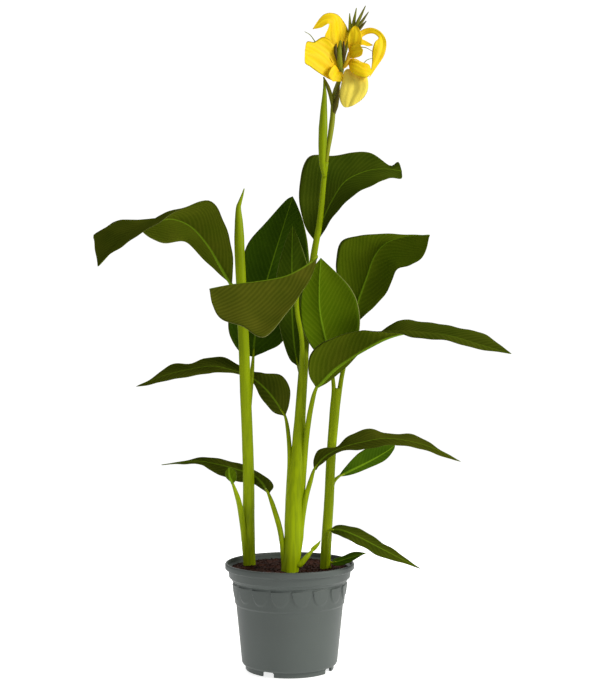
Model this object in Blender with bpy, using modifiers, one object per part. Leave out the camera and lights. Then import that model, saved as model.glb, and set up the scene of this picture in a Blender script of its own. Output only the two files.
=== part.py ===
"""A canna lily in its nursery pot: three leafy shoots, one in bloom, in soil.

Metres, +Z up. The origin is on the pot's axis at the ground, and -Y is the front.
Plant points are written in millimetres as (x, z, y): x and z as they appear from the front, on
the upright plane through the pot's axis, and y as the distance behind that plane. A point that
lies nearer or farther than the plane is drawn in or out from the eye, which looks level.
"""

import math

import bmesh
import bpy
from mathutils import Matrix, Vector

MM = 0.001
EYE_DISTANCE = 1730.0
EYE_HEIGHT = 429.5
EYE_SIDE = 13.6

# The pot, in millimetres
POT_HEIGHT = 139.0
RIM_RADIUS = 85.0
BAND_TOP = 115.0
BAND_BOTTOM = 86.0
BAND_RADIUS = 74.5
FOOT_RADIUS = 58.0
FOOT_WIDTH = 3.6
FOOT_HEIGHT = 6.8
WALL = 1.8
FLOOR_TOP = 9.0
SCALLOPS = 17
COLUMNS_PER_SCALLOP = 3
SCALLOP_RELIEF = 1.0
FEET = 4
NOTCH_TURN = math.radians(61.5)
NOTCH_WIDTH = 17.0
DRAIN_RADIUS = 4.5
DRAIN_CIRCLE = 40.0

# The soil, in millimetres
SOIL_TOP = 131.0
SOIL_LUMP = 2.2
SOIL_STEPS = 32
SOIL_RINGS = 5

# Fits and fineness, in millimetres
GAP = 0.3
LEAF_THICKNESS = 1.1
PETAL_THICKNESS = 0.9
STEM_SIDES = 2
STALK_SIDES = 1
LEAF_ARCH = 0.10
PETAL_ARCH = 0.16
RIB_REACH = 0.62
RIB_END_RADIUS = 0.9

COLOURS = {
    "pot_grey": ((0.115, 0.135, 0.135, 1), 0.45),
    "soil_brown": ((0.030, 0.012, 0.007, 1), 0.95),
    "stem_green": ((0.33, 0.40, 0.02, 1), 0.45),
    "leaf_green": ((0.045, 0.085, 0.008, 1), 0.42),
    "petal_yellow": ((0.88, 0.62, 0.03, 1), 0.5),
    "bud_green": ((0.20, 0.22, 0.02, 1), 0.5),
    "rhizome_tan": ((0.35, 0.22, 0.10, 1), 0.8),
}

# Each stem: the points of its middle and its radius at each of them
STEMS = {
    "stem_left": (
        [(-53, 82, 24), (-53, 134, 24), (-54, 194, 20), (-54, 247, 15), (-56, 313, 8), (-58,
         359, 4), (-60, 418, 0), (-62, 460, -2)],
        [8.0, 8.2, 8.0, 7.6, 7.4, 7.3, 7.2, 7.0]),
    "stem_centre": (
        [(0, 73, -24), (0, 124, -26), (3, 144, -25), (5, 171, -22), (7, 221, -18), (11, 273,
         -12), (14, 333, -6), (18, 392, 0), (21, 445, 3), (26, 497, 3), (32, 544, 2), (39, 583,
         -4), (42, 609, -7), (45, 642, -9), (48, 666, -10)],
        [9.0, 9.6, 11.4, 12.2, 11.6, 9.2, 7.2, 6.6, 6.0, 5.4, 5.0, 4.4, 4.0, 3.6, 3.4]),
    "stem_right": (
        [(47, 81, 2), (47, 131, 2), (49, 174, 4), (52, 221, 6), (54, 267, 8), (57, 313, 10),
         (60, 352, 12), (62, 368, 13)],
        [6.8, 7.0, 6.8, 6.5, 6.3, 6.2, 6.0, 5.6]),
}
RHIZOME = [(-57, 78, 25), (-50, 76, 23), (-24, 73, 4), (0, 72, -20), (24, 72, -12), (46, 75, 2), (55, 77, 5)]
RHIZOME_RADII = [5, 8.5, 10, 13, 10, 9, 5]

# Leaves still rolled up, and the green parts of the flower's head: points, radii
ROLLED_LEAF = (
    [(-62, 458, -2), (-62, 466, -2), (-64, 504, -3), (-66, 544, -4), (-67, 583, -4), (-67.6, 605, -4),
     (-65.6, 613, -4), (-62.6, 622, -3), (-60, 631, -2)],
    [6.3, 6.7, 6.7, 6.6, 6.6, 6.5, 5.2, 2.8, 0.7])
SPATHE = (
    [(46, 646, -11), (43, 664, -18), (43, 682, -19), (44, 711, -19), (45, 737, -18), (46, 758, -17),
     (45, 775, -15)],
    [2.6, 4.2, 5.4, 5.8, 4.6, 3.0, 0.7])
FLOWER_AXIS = (
    [(47.8, 663, -10), (50, 682, -10), (53.5, 702, -9), (56.4, 724, -7), (57.3, 742, -6), (59, 757, -5),
     (63, 769, -3), (68, 782, -1), (72, 806, 1), (77, 824, 2), (82, 837, 2)],
    [2.7, 3.3, 3.5, 3.7, 3.3, 2.8, 2.6, 2.5, 2.3, 2.2, 2.0])
BRACTS = [
    ([(57, 736, -6), (54.5, 752, -10), (50, 766, -13), (44.5, 778, -15)], [2.0, 2.8, 2.6, 1.0]),
    ([(57, 726, -6), (61, 742, -10), (63.5, 755, -12), (65.5, 767, -13)], [2.0, 3.6, 2.8, 0.8]),
    ([(68, 781, -1), (66, 794, -9), (65.5, 808, -12), (67, 826, -11)], [2.2, 4.2, 4.8, 1.4]),
]
BUDS = [
    ((80, 828, 2), (79, 862, 6)), ((81, 832, 2), (88, 869, 4)), ((82, 832, 2), (94, 862, -4)),
    ((82, 834, 2), (100, 872, 1)), ((83, 833, 2), (104, 864, 9)), ((83, 832, 2), (101, 852, -8)),
]
BUD_RADII = [1.6, 2.7, 1.9, 0.6]

# Each leaf: its stalk from the stem, and the blade's base, rib, two edges and tip
LEAVES = {
    "leaf_upper_left": dict(
        base=(-76, 503, 10), tip=(-253, 528, 26), stalk_radius=3.6,
        stalk=[(-61, 425, 4), (-66, 455, 11), (-70, 482, 11)],
        rib=[(-92, 530, 8), (-108, 557, 8), (-131, 582, 10), (-159, 592, 16), (-184, 582, 20),
             (-217, 566, 26)],
        left=[(-91, 517, 20), (-118, 541, 40), (-137, 561, 52), (-171, 559, 62), (-200, 578, 74),
             (-228, 586, 80), (-236, 584, 80), (-261, 571, 78), (-262, 563, 74)],
        right=[(-75, 547, -8), (-87, 587, -22), (-105, 616, -32), (-141, 604, -38), (-171, 588,
             -40), (-205, 565, -26), (-237, 544, 6)],
    ),
    "leaf_front": dict(
        base=(37, 542, -38), tip=(-106, 499, -104), stalk_radius=2.9,
        stalk=[(18, 385, -3), (16, 431, -10), (10, 468, -16), (10, 492, -24), (20, 521, -32)],
        rib=[(21, 530, -47), (-6, 516, -60), (-42, 509, -80), (-76, 505, -96)],
        left=[(31, 521, -44), (16, 493, -62), (-8, 462, -88), (-34, 434, -108), (-62, 449, -112),
             (-91, 460, -110), (-102, 478, -106)],
        right=[(24, 529, -22), (0, 500, -28), (-37, 489, -48), (-71, 494, -72), (-92, 500, -88)],
    ),
    "leaf_tall_left": dict(
        base=(-48, 409, 34), tip=(4, 621, 54), stalk_radius=3.2,
        stalk=[(-56, 339, 12), (-51, 372, 20)],
        rib=[(-46, 434, 44), (-37, 484, 56), (-23, 534, 60), (-9, 579, 58)],
        left=[(-66, 416, 34), (-80, 441, 36), (-79, 471, 44), (-66, 517, 52), (-56, 557, 54), (-31,
             587, 54), (-6, 615, 54)],
        right=[(-30, 417, 34), (-9, 430, 32), (8, 471, 40), (25, 517, 56), (24, 557, 62), (18, 587,
             60), (10, 609, 56)],
    ),
    "leaf_tall_centre": dict(
        base=(11, 397, 24), tip=(4, 583, 32), stalk_radius=2.6,
        stalk=[(18, 363, 6), (15, 381, 16)],
        rib=[(6, 425, 30), (3, 471, 34), (3, 511, 34), (3, 550, 32)],
        left=[(0, 406, 22), (-9, 431, 20), (-17, 468, 22), (-18, 511, 26), (-8, 554, 30)],
        right=[(21, 412, 20), (29, 445, 24), (31, 484, 28), (25, 524, 32), (15, 557, 34)],
    ),
    "leaf_top": dict(
        base=(35, 559, 11), tip=(148, 654, 18), stalk_radius=3.4,
        stalk=[(29, 517, 8), (32, 540, 10)],
        rib=[(43, 587, 12), (57, 617, 16), (74, 641, 20), (101, 654, 22), (126, 657, 18)],
        left=[(20, 582, 18), (12, 616, 30), (14, 642, 36), (25, 673, 34), (54, 675, 40), (82, 678,
             42), (107, 678, 40), (132, 662, 30), (143, 667, 24)],
        right=[(49, 580, -6), (62, 600, -16), (81, 619, -24), (112, 637, -20), (130, 644, -4), (147,
             644, 8)],
    ),
    "leaf_upper_right": dict(
        base=(81, 449, 28), tip=(185, 570, 8), stalk_radius=3.0,
        stalk=[(63, 355, 13), (69, 385, 16), (76, 418, 22)],
        rib=[(89, 478, 36), (101, 511, 44), (112, 541, 46), (128, 559, 42), (152, 567, 30)],
        left=[(72, 474, 38), (64, 507, 46), (61, 534, 54), (68, 562, 60), (93, 569, 64), (132, 572,
             62), (165, 570, 42)],
        right=[(94, 459, 24), (112, 476, 22), (130, 497, 20), (141, 524, 14), (161, 530, 4), (177,
             544, 0)],
    ),
    "leaf_centre_right": dict(
        base=(55, 395, 8), tip=(41, 540, -16), stalk_radius=2.9,
        stalk=[(60, 350, 10), (58, 368, 10)],
        rib=[(48, 428, 2), (40, 468, -8), (39, 504, -14)],
        left=[(39, 409, -2), (20, 438, -12), (14, 474, -14), (20, 511, -16)],
        right=[(74, 410, 4), (91, 439, 0), (91, 474, -4), (81, 499, -8), (61, 521, -12)],
    ),
    "leaf_long_right": dict(
        base=(35, 368, -22), tip=(293, 413, -138), stalk_radius=3.5,
        stalk=[(18, 268, -16), (23, 310, -18), (28, 342, -20)],
        rib=[(58, 391, -32), (79, 406, -40), (105, 422, -48), (132, 435, -58), (161, 441, -72),
             (205, 438, -98), (251, 425, -122)],
        left=[(25, 387, -30), (28, 414, -26), (53, 433, -24), (91, 443, -34), (132, 441, -80), (165,
             435, -106), (211, 429, -128), (256, 418, -138)],
        right=[(50, 375, -20), (79, 400, -10), (108, 429, 2), (136, 451, -2), (155, 458, -10), (203,
             451, -48), (228, 447, -70), (261, 437, -104)],
    ),
    "leaf_mid_left": dict(
        base=(-6, 331, 5), tip=(-203, 370, 8), stalk_radius=3.0,
        stalk=[(4, 244, -18), (0, 279, -12), (-2, 309, 0)],
        rib=[(-21, 354, 14), (-37, 372, 24), (-54, 384, 32), (-76, 392, 36), (-102, 397, 36), (-131,
             393, 32), (-164, 385, 22)],
        left=[(-23, 337, 20), (-39, 358, 27), (-50, 377, 28), (-66, 386, 24), (-88, 389, 8), (-110,
             388, 0), (-132, 383, -4), (-160, 379, 0), (-185, 372, 4)],
        right=[(0, 348, -8), (0, 367, -12), (-11, 385, -2), (-33, 388, 20), (-52, 392, 40), (-71,
             401, 54), (-91, 409, 62), (-112, 408, 64), (-131, 401, 62), (-158, 398, 50), (-184,
             380, 26)],
    ),
    "leaf_low_left": dict(
        base=(-28, 229, -4), tip=(-170, 267, 36), stalk_radius=3.5,
        stalk=[(-5, 142, -28), (-12, 178, -24), (-21, 210, -14)],
        rib=[(-37, 244, 12), (-51, 255, 28), (-69, 261, 36), (-96, 268, 40), (-125, 272, 38)],
        left=[(-37, 235, 6), (-50, 243, 22), (-66, 244, 28), (-84, 251, 26), (-105, 259, 26), (-122,
             268, 30)],
        right=[(-21, 238, -2), (-27, 248, 12), (-44, 259, 36), (-62, 267, 46), (-89, 275, 52),
             (-108, 277, 52), (-131, 274, 44)],
    ),
    "leaf_stub_left": dict(
        base=(-75, 242, -4), tip=(-80, 264, -14), stalk_radius=3.9,
        stalk=[(-58, 152, 20), (-62, 189, 12), (-67, 218, 4)],
        rib=[(-79, 252, -8)],
        left=[(-84, 250, -6), (-85, 258, -10)],
        right=[(-70, 248, -8), (-71, 258, -14)],
    ),
    "leaf_low_right": dict(
        base=(32, 260, -20), tip=(226, 271, -66), stalk_radius=3.5,
        stalk=[(14, 194, -24), (21, 222, -24), (27, 244, -22)],
        rib=[(44, 276, -24), (66, 289, -30), (95, 297, -38), (126, 302, -46), (159, 298, -54), (192,
             288, -60)],
        left=[(31, 273, -14), (36, 285, -8), (47, 289, -7), (62, 291, -8), (79, 307, 0), (107, 314,
             4), (126, 309, 0), (156, 308, -14), (182, 298, -32), (207, 282, -52)],
        right=[(41, 267, -28), (53, 277, -34), (66, 284, -42), (82, 286, -52), (107, 289, -64),
             (141, 293, -74), (165, 290, -76), (198, 279, -72)],
    ),
    "leaf_back_right": dict(
        base=(64, 251, 18), tip=(139, 293, 140), stalk_radius=2.9,
        stalk=[(54, 227, 8), (57, 242, 12)],
        rib=[(82, 260, 42), (106, 272, 78), (127, 284, 114)],
        left=[(73, 264, 34), (93, 284, 66), (116, 294, 106)],
        right=[(82, 254, 40), (103, 262, 70), (126, 273, 104), (137, 286, 130)],
    ),
    "leaf_lowest_right": dict(
        base=(53, 181, -8), tip=(173, 130, -76), stalk_radius=2.2,
        stalk=[(49, 157, 2), (50, 173, -4)],
        rib=[(66, 182, -18), (87, 174, -34), (116, 159, -52), (145, 144, -66)],
        left=[(60, 187, -2), (72, 188, -4), (87, 184, -14), (107, 175, -28), (128, 161, -46), (149,
             147, -60)],
        right=[(58, 176, -16), (73, 171, -36), (94, 159, -58), (118, 147, -72), (140, 140, -78)],
    ),
    "leaf_rim_right": dict(
        base=(56, 138, 0), tip=(101, 151, -22), stalk_radius=2.2,
        stalk=[(47, 142, 2), (52, 139, 1)],
        rib=[(68, 141, -6), (82, 145, -16)],
        left=[(58, 143, 8), (68, 147, 8), (79, 150, 0), (91, 152, -8)],
        right=[(58, 134, -10), (71, 136, -24), (82, 140, -27), (93, 147, -26)],
    ),
    "leaf_soil_shoot": dict(
        base=(29, 153, -22), tip=(41, 167, -15), stalk_radius=4.0,
        stalk=[(3, 135, -26), (14, 136, -29), (22, 145, -26)],
        rib=[(34, 159, -18)],
        left=[(28, 157, -20), (35, 163, -17)],
        right=[(34, 155, -21), (39, 161, -17)],
    ),
}

# Each bloom: its stalk with radii, and its petals, given as leaves are
BLOOMS = {
    "bloom_left": dict(
        stalk=([(58, 749, -5), (62, 762, -9), (65, 773, -10), (65, 782, -8), (64, 789, -5)], [1.8,
               2.2, 2.8, 3.2, 2.4]),
        petals=[
            dict(base=(65, 785, -4), tip=(30, 841, -22),
                 rib=[(62, 811, -8), (60, 835, -11), (58, 854, -14), (44, 853, -18)],
                 left=[(54, 798, -14), (47, 819, -17), (48, 835, -19), (52, 847, -20), (41, 843,
                       -22)],
                 right=[(73, 801, 9), (77, 824, 10), (74, 845, 5), (64, 861, -4), (45, 861, -12)]),
            dict(base=(65, 778, -7), tip=(20, 814, -38),
                 rib=[(53, 793, -18), (37, 807, -28)],
                 left=[(58, 773, -14), (41, 782, -26), (28, 792, -34), (20, 796, -40), (19, 804,
                       -40)],
                 right=[(61, 811, -12), (47, 831, -18), (33, 825, -25), (23, 825, -32)]),
            dict(base=(66, 785, -8), tip=(57, 772, -27),
                 rib=[(61, 783, -20)],
                 left=[(58, 794, -20), (50, 781, -28)],
                 right=[(72, 782, -12), (68, 772, -18)]),
        ]),
    "bloom_right": dict(
        stalk=([(69, 790, 0), (74, 794, -6), (77, 801, -7), (79, 810, -3)], [2.0, 3.0, 3.2, 2.4]),
        petals=[
            dict(base=(76, 793, -8), tip=(77, 738, -30), pale=1.0,
                 rib=[(83, 782, -24), (86, 764, -30), (81, 749, -31)],
                 left=[(71, 783, -17), (67, 766, -25), (66, 749, -28), (71, 739, -29)],
                 right=[(98, 790, -19), (103, 775, -29), (103, 762, -33), (96, 750, -33), (85, 741,
                        -32)]),
            dict(base=(76, 798, -4), tip=(108, 785, -20),
                 rib=[(87, 793, -12), (98, 787, -18)],
                 left=[(81, 782, -16), (93, 777, -24), (102, 778, -26)],
                 right=[(83, 802, -2), (94, 797, -6), (103, 793, -10)]),
            dict(base=(79, 808, -3), tip=(105, 777, -8),
                 rib=[(89, 827, 2), (98, 837, 8), (111, 839, 8), (121, 832, 5), (123, 819, 1), (118,
                      803, -3), (111, 791, -6)],
                 left=[(90, 822, 1), (98, 833, 7), (110, 835, 7), (117, 829, 3), (111, 822, -3),
                       (109, 807, -6), (108, 793, -7)],
                 right=[(87, 832, 5), (97, 841, 9), (111, 843, 9), (122, 837, 6), (127, 823, 3),
                        (125, 808, 0), (115, 791, -4)]),
            dict(base=(78, 808, -2), tip=(86, 846, -8),
                 rib=[(85, 823, -9), (87, 835, -11)],
                 left=[(77, 822, -6), (77, 833, -9), (81, 842, -9)],
                 right=[(94, 820, -11), (95, 833, -12), (91, 842, -10)]),
            dict(base=(79, 808, -4), tip=(110, 820, -1),
                 rib=[(91, 824, -3), (101, 824, -1)],
                 left=[(88, 829, 0), (98, 828, 2), (105, 824, 1)],
                 right=[(93, 818, -7), (101, 819, -4)]),
            dict(base=(77, 803, -6), tip=(97, 814, -21),
                 rib=[(87, 811, -15)],
                 left=[(81, 820, -12), (91, 822, -17)],
                 right=[(85, 803, -13), (94, 807, -19)]),
        ]),
}


def seen(point):
    """The place in the model, in metres, of a plant point (x, z, y)."""
    x, z, behind = point
    draw = 1 + behind / EYE_DISTANCE
    return Vector((EYE_SIDE + (x - EYE_SIDE) * draw, behind, EYE_HEIGHT + (z - EYE_HEIGHT) * draw)) * MM


def smooth_line(points, count, steps_per_span=12):
    """count + 1 evenly spaced points on a smooth curve through the given points."""
    ends = [points[0] * 2 - points[1], *points, points[-1] * 2 - points[-2]]
    fine = []
    for a, b, c, d in zip(ends, ends[1:], ends[2:], ends[3:]):
        for step in range(steps_per_span):
            t = step / steps_per_span
            fine.append(b + (c - a) * (t / 2) + (a * 2 - b * 5 + c * 4 - d) * (t * t / 2)
                        + (b * 3 - a - c * 3 + d) * (t ** 3 / 2))
    fine.append(points[-1])
    reach = [0.0]
    for a, b in zip(fine, fine[1:]):
        reach.append(reach[-1] + (b - a).length)
    line = []
    span = 0
    for index in range(count + 1):
        target = reach[-1] * index / count
        while span < len(fine) - 2 and reach[span + 1] < target:
            span += 1
        share = (target - reach[span]) / max(reach[span + 1] - reach[span], 1e-9)
        line.append(fine[span].lerp(fine[span + 1], min(max(share, 0), 1)))
    return line


def material(name):
    colour, roughness = COLOURS[name]
    made = bpy.data.materials.get(name)
    if made is None:
        made = bpy.data.materials.new(name)
        made.use_nodes = True
        shader = made.node_tree.nodes["Principled BSDF"]
        shader.inputs["Base Color"].default_value = colour
        shader.inputs["Roughness"].default_value = roughness
        made.diffuse_color = colour
    return made


def add_object(name, data):
    made = bpy.data.objects.new(name, data)
    bpy.context.scene.collection.objects.link(made)
    return made


def add_mesh(name, bm):
    mesh = bpy.data.meshes.new(name)
    bm.to_mesh(mesh)
    bm.free()
    return add_object(name, mesh)


def baked(obj, weld=0.0):
    """A plain mesh object in obj's stead, with its modifiers applied and its place in its mesh."""
    bpy.context.view_layer.update()
    evaluated = obj.evaluated_get(bpy.context.evaluated_depsgraph_get())
    mesh = bpy.data.meshes.new_from_object(evaluated)
    mesh.transform(obj.matrix_world)
    name = obj.name
    bpy.data.objects.remove(obj)
    if weld:
        bm = bmesh.new()
        bm.from_mesh(mesh)
        bmesh.ops.remove_doubles(bm, verts=bm.verts, dist=weld)
        bmesh.ops.recalc_face_normals(bm, faces=bm.faces)
        bm.to_mesh(mesh)
        bm.free()
    return add_object(name, mesh)


def boolean(obj, others, operation, solver="EXACT"):
    """obj joined with the others, or cut by them, which are then removed."""
    group = bpy.data.collections.new(obj.name + "_tools")
    for other in others:
        group.objects.link(other)
    step = obj.modifiers.new(operation.lower(), "BOOLEAN")
    step.operation = operation
    step.operand_type = "COLLECTION"
    step.collection = group
    step.solver = solver
    made = baked(obj)
    for other in others:
        bpy.data.objects.remove(other)
    bpy.data.collections.remove(group)
    return made


def tube(name, points, radii, resolution, count, grow=0.0):
    """A tube along a smooth curve through the points, with its radius, in mm, read between radii."""
    middle = smooth_line([seen(p) for p in points], count)
    if grow:
        middle[0] = middle[0] + (middle[0] - middle[1]).normalized() * grow * MM
        middle[-1] = middle[-1] + (middle[-1] - middle[-2]).normalized() * grow * MM
    curve = bpy.data.curves.new(name, "CURVE")
    curve.dimensions = "3D"
    curve.bevel_depth = MM
    curve.bevel_resolution = resolution
    curve.use_fill_caps = True
    spline = curve.splines.new("POLY")
    spline.points.add(len(middle) - 1)
    for index, (point, place) in enumerate(zip(spline.points, middle)):
        at = (len(radii) - 1) * index / count
        low = min(int(at), len(radii) - 2)
        radius = radii[low] + (radii[low + 1] - radii[low]) * (at - low)
        point.co = (*place, 1)
        point.radius = radius + grow
    return baked(add_object(name, curve), weld=0.00002)


def blade(name, form, stations, columns, thickness, arch):
    """A thin closed blade between a left edge and a right edge, with a rib, from base to tip."""
    base, tip = seen(form["base"]), seen(form["tip"])
    rib, left, right = (
        smooth_line([base, *[seen(p) for p in form[side]], tip], stations)
        for side in ("rib", "left", "right"))
    bm = bmesh.new()
    first = bm.verts.new(base)
    last = bm.verts.new(tip)
    rows = []
    for station in range(1, stations):
        along = rib[station + 1] - rib[station - 1]
        up = along.cross(right[station] - left[station]).normalized()
        row = []
        for column in range(-columns, columns + 1):
            edge = left[station] if column < 0 else right[station]
            share = abs(column) / columns
            width = (edge - rib[station]).length
            lift = up * (arch * width * math.sin(math.pi * share))
            row.append(bm.verts.new(rib[station].lerp(edge, share) + lift))
        rows.append(row)
    for column in range(2 * columns):
        bm.faces.new((first, rows[0][column + 1], rows[0][column]))
        bm.faces.new((last, rows[-1][column], rows[-1][column + 1]))
        for low, high in zip(rows, rows[1:]):
            a, b, c, d = low[column], low[column + 1], high[column + 1], high[column]
            if column < columns:
                bm.faces.new((a, b, c))
                bm.faces.new((a, c, d))
            else:
                bm.faces.new((a, b, d))
                bm.faces.new((b, c, d))
    made = add_mesh(name, bm)
    shell = made.modifiers.new("thickness", "SOLIDIFY")
    shell.thickness = thickness * MM
    shell.offset = 0
    return baked(made)


def leaf(name, form, stations, columns):
    """A blade fused with the stalk that runs on up its rib."""
    rib_points = [form["base"], *form["rib"]]
    reach = max(2, round(len(rib_points) * RIB_REACH) + 1)
    path = [*form["stalk"], *rib_points[:reach]]
    thick = form["stalk_radius"]
    stalk_share = len(form["stalk"])
    radii = [thick * 1.25] + [thick] * (stalk_share - 1)
    rib_steps = len(path) - stalk_share
    for step in range(rib_steps):
        radii.append(thick * 0.85 + (RIB_END_RADIUS - thick * 0.85) * (step + 1) / rib_steps)
    stalk = tube(name + "_stalk", path, radii, STALK_SIDES, len(path) + 4)
    made = blade(name, form, stations, columns, LEAF_THICKNESS, LEAF_ARCH)
    pieces = []
    for piece in (made, stalk):
        rooms = [stem_tube(stem, GAP) for stem in STEMS]
        pieces.append(boolean(piece, rooms, "DIFFERENCE"))
    return boolean(pieces[0], pieces[1:], "UNION", "MANIFOLD")


def stem_tube(name, grow=0.0):
    points, radii = STEMS[name]
    return tube(name + ("_room" if grow else ""), points, radii, STEM_SIDES, 2 * len(points), grow)


def rolled(name, form, count, grow=0.0):
    points, radii = form
    return tube(name, points, radii, 2, count, grow)


def head_rooms():
    """The flower's stalk and bracts, larger by the gap, to cut what stands against them."""
    return [rolled("axis_room", FLOWER_AXIS, 20, GAP)] + [rolled("bract_room", form, 4, GAP) for form in BRACTS]


def ring_wave(angle, radius):
    """The lumps of the soil's top, in mm."""
    return SOIL_LUMP * (0.5 * math.sin(5 * angle + 0.09 * radius) + 0.3 * math.sin(11 * angle - 0.2 * radius)
                        + 0.4 * math.cos(0.31 * radius + 2 * angle))


def lobe_bottom(column):
    """The height in mm at which the scallop under this column of the pot's band ends."""
    return math.inf if column % COLUMNS_PER_SCALLOP == 0 else 92.0


def inner_radius(z):
    """The pot's inner radius at a height, in mm."""
    slope = (BAND_RADIUS - 4 - WALL - (FOOT_RADIUS + 3.5 - WALL)) / (BAND_BOTTOM - FLOOR_TOP)
    return FOOT_RADIUS + 3.5 - WALL + slope * (z - FLOOR_TOP)


def turned(name, profile, steps):
    """A solid turned round the pot's axis, from a profile of (radius, z) in mm that starts and ends on it."""
    bm = bmesh.new()
    points = [bm.verts.new((r * MM, 0, z * MM)) for r, z in profile]
    for a, b in zip(points, points[1:]):
        bm.edges.new((a, b))
    made = add_mesh(name, bm)
    screw = made.modifiers.new("turn", "SCREW")
    screw.steps = steps
    screw.render_steps = steps
    screw.use_merge_vertices = True
    screw.merge_threshold = 0.00005
    screw.use_smooth_shade = True
    return baked(made, weld=0.00001)


def box(name, size, place, turn=0.0):
    bm = bmesh.new()
    bmesh.ops.create_cube(bm, size=1)
    bmesh.ops.scale(bm, vec=Vector(size) * MM, verts=bm.verts)
    bmesh.ops.transform(bm, matrix=Matrix.Rotation(turn, 4, "Z") @ Matrix.Translation(Vector(place) * MM),
                        verts=bm.verts)
    return add_mesh(name, bm)


def pot():
    """The moulded pot: a rim with a step, a scalloped band, a tapering wall and a notched foot ring."""
    band_rows = [BAND_TOP - 1.5, 103.0, 95.0, 90.0]
    lip = RIM_RADIUS - WALL - 1.4
    outer = [
        (lip, POT_HEIGHT - 1.2), (lip + 0.9, POT_HEIGHT), (RIM_RADIUS - 1.2, POT_HEIGHT), (RIM_RADIUS, POT_HEIGHT - 1.6),
        (RIM_RADIUS, 131.6), (RIM_RADIUS - 4.2, 129.8), (RIM_RADIUS - 5.2, 120.6), (RIM_RADIUS - 8.2, 118.4),
        (RIM_RADIUS - 8.8, BAND_TOP + 1.4), (BAND_RADIUS - 0.4, BAND_TOP)]
    outer += [(BAND_RADIUS - 2.5 * (BAND_TOP - z) / (BAND_TOP - BAND_BOTTOM), z) for z in band_rows]
    outer += [(BAND_RADIUS - 2.5, BAND_BOTTOM + 0.8), (BAND_RADIUS - 4.0, BAND_BOTTOM - 1.2),
              (FOOT_RADIUS + 4.8, FOOT_HEIGHT + 2.8), (FOOT_RADIUS + 3.5, FOOT_HEIGHT + 0.6), (FOOT_RADIUS, FOOT_HEIGHT),
              (FOOT_RADIUS, 0.0), (FOOT_RADIUS - FOOT_WIDTH, 0.0), (FOOT_RADIUS - FOOT_WIDTH, FOOT_HEIGHT),
              (0.0, FOOT_HEIGHT)]
    inner = [(0.0, FLOOR_TOP), (inner_radius(FLOOR_TOP), FLOOR_TOP), (inner_radius(BAND_BOTTOM), BAND_BOTTOM),
             (BAND_RADIUS - WALL - 0.6, BAND_TOP), (RIM_RADIUS - 9.0 - WALL, 118.6), (RIM_RADIUS - 5.8 - WALL, 121.6),
             (RIM_RADIUS - 4.6 - WALL, 131.2), (lip, 133.4), (lip, POT_HEIGHT - 1.2)]
    steps = SCALLOPS * COLUMNS_PER_SCALLOP
    made = turned("pot", outer + inner, steps)
    for vertex in made.data.vertices:
        x, y, z = vertex.co / MM
        radius = math.hypot(x, y)
        if BAND_BOTTOM + 1 < z < BAND_TOP - 1 and radius > inner_radius(z) + 0.5 * WALL:
            column = round(math.atan2(y, x) / math.tau * steps)
            if z > lobe_bottom(column):
                vertex.co.xy *= 1 + SCALLOP_RELIEF / radius
    cutters = []
    for foot in range(FEET):
        turn = NOTCH_TURN + math.tau * foot / FEET
        cutters.append(box("notch", (12.0, NOTCH_WIDTH, 2 * FOOT_HEIGHT - 1.0), (FOOT_RADIUS, 0, 0), turn))
        cutters.append(drain(turn + math.pi / FEET))
    return boolean(made, cutters, "DIFFERENCE")


def drain(turn):
    bm = bmesh.new()
    bmesh.ops.create_cone(bm, cap_ends=True, segments=12, radius1=DRAIN_RADIUS * MM, radius2=DRAIN_RADIUS * MM,
                          depth=3 * FLOOR_TOP * MM)
    place = Vector((DRAIN_CIRCLE * math.cos(turn), DRAIN_CIRCLE * math.sin(turn), FLOOR_TOP)) * MM
    bmesh.ops.translate(bm, vec=place, verts=bm.verts)
    return add_mesh("drain", bm)


def soil():
    """The soil: it fills the pot to below the rim, with a lumpy top and holes for what grows in it."""
    outer = inner_radius(SOIL_TOP) - GAP
    floor = FLOOR_TOP + GAP
    edge = [(0.0, SOIL_TOP)]
    widest = RIM_RADIUS - WALL - 5.0
    edge += [(widest * ring / SOIL_RINGS, SOIL_TOP) for ring in range(1, SOIL_RINGS + 1)]
    edge += [(RIM_RADIUS - 6.3 - WALL, 122.2), (RIM_RADIUS - 9.5 - WALL, 119.2),
             (BAND_RADIUS - WALL - 1.6, BAND_TOP), (inner_radius(BAND_BOTTOM) - 2 * GAP, BAND_BOTTOM - 1),
             (inner_radius(floor) - 2 * GAP, floor), (0.0, floor)]
    made = turned("soil", edge, SOIL_STEPS)
    for vertex in made.data.vertices:
        x, y, z = vertex.co / MM
        radius = math.hypot(x, y)
        if z > SOIL_TOP - 1:
            fade = 1 - (radius / widest) ** 6
            vertex.co.z += ring_wave(math.atan2(y, x), radius) * fade * MM
    return made


def tidy_up(obj, colour):
    mesh = obj.data
    mesh.materials.clear()
    mesh.materials.append(material(colour))
    mesh.shade_smooth()
    mesh.set_sharp_from_angle(angle=math.radians(40))


def clear_scene():
    for old in list(bpy.data.objects):
        bpy.data.objects.remove(old)


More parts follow.
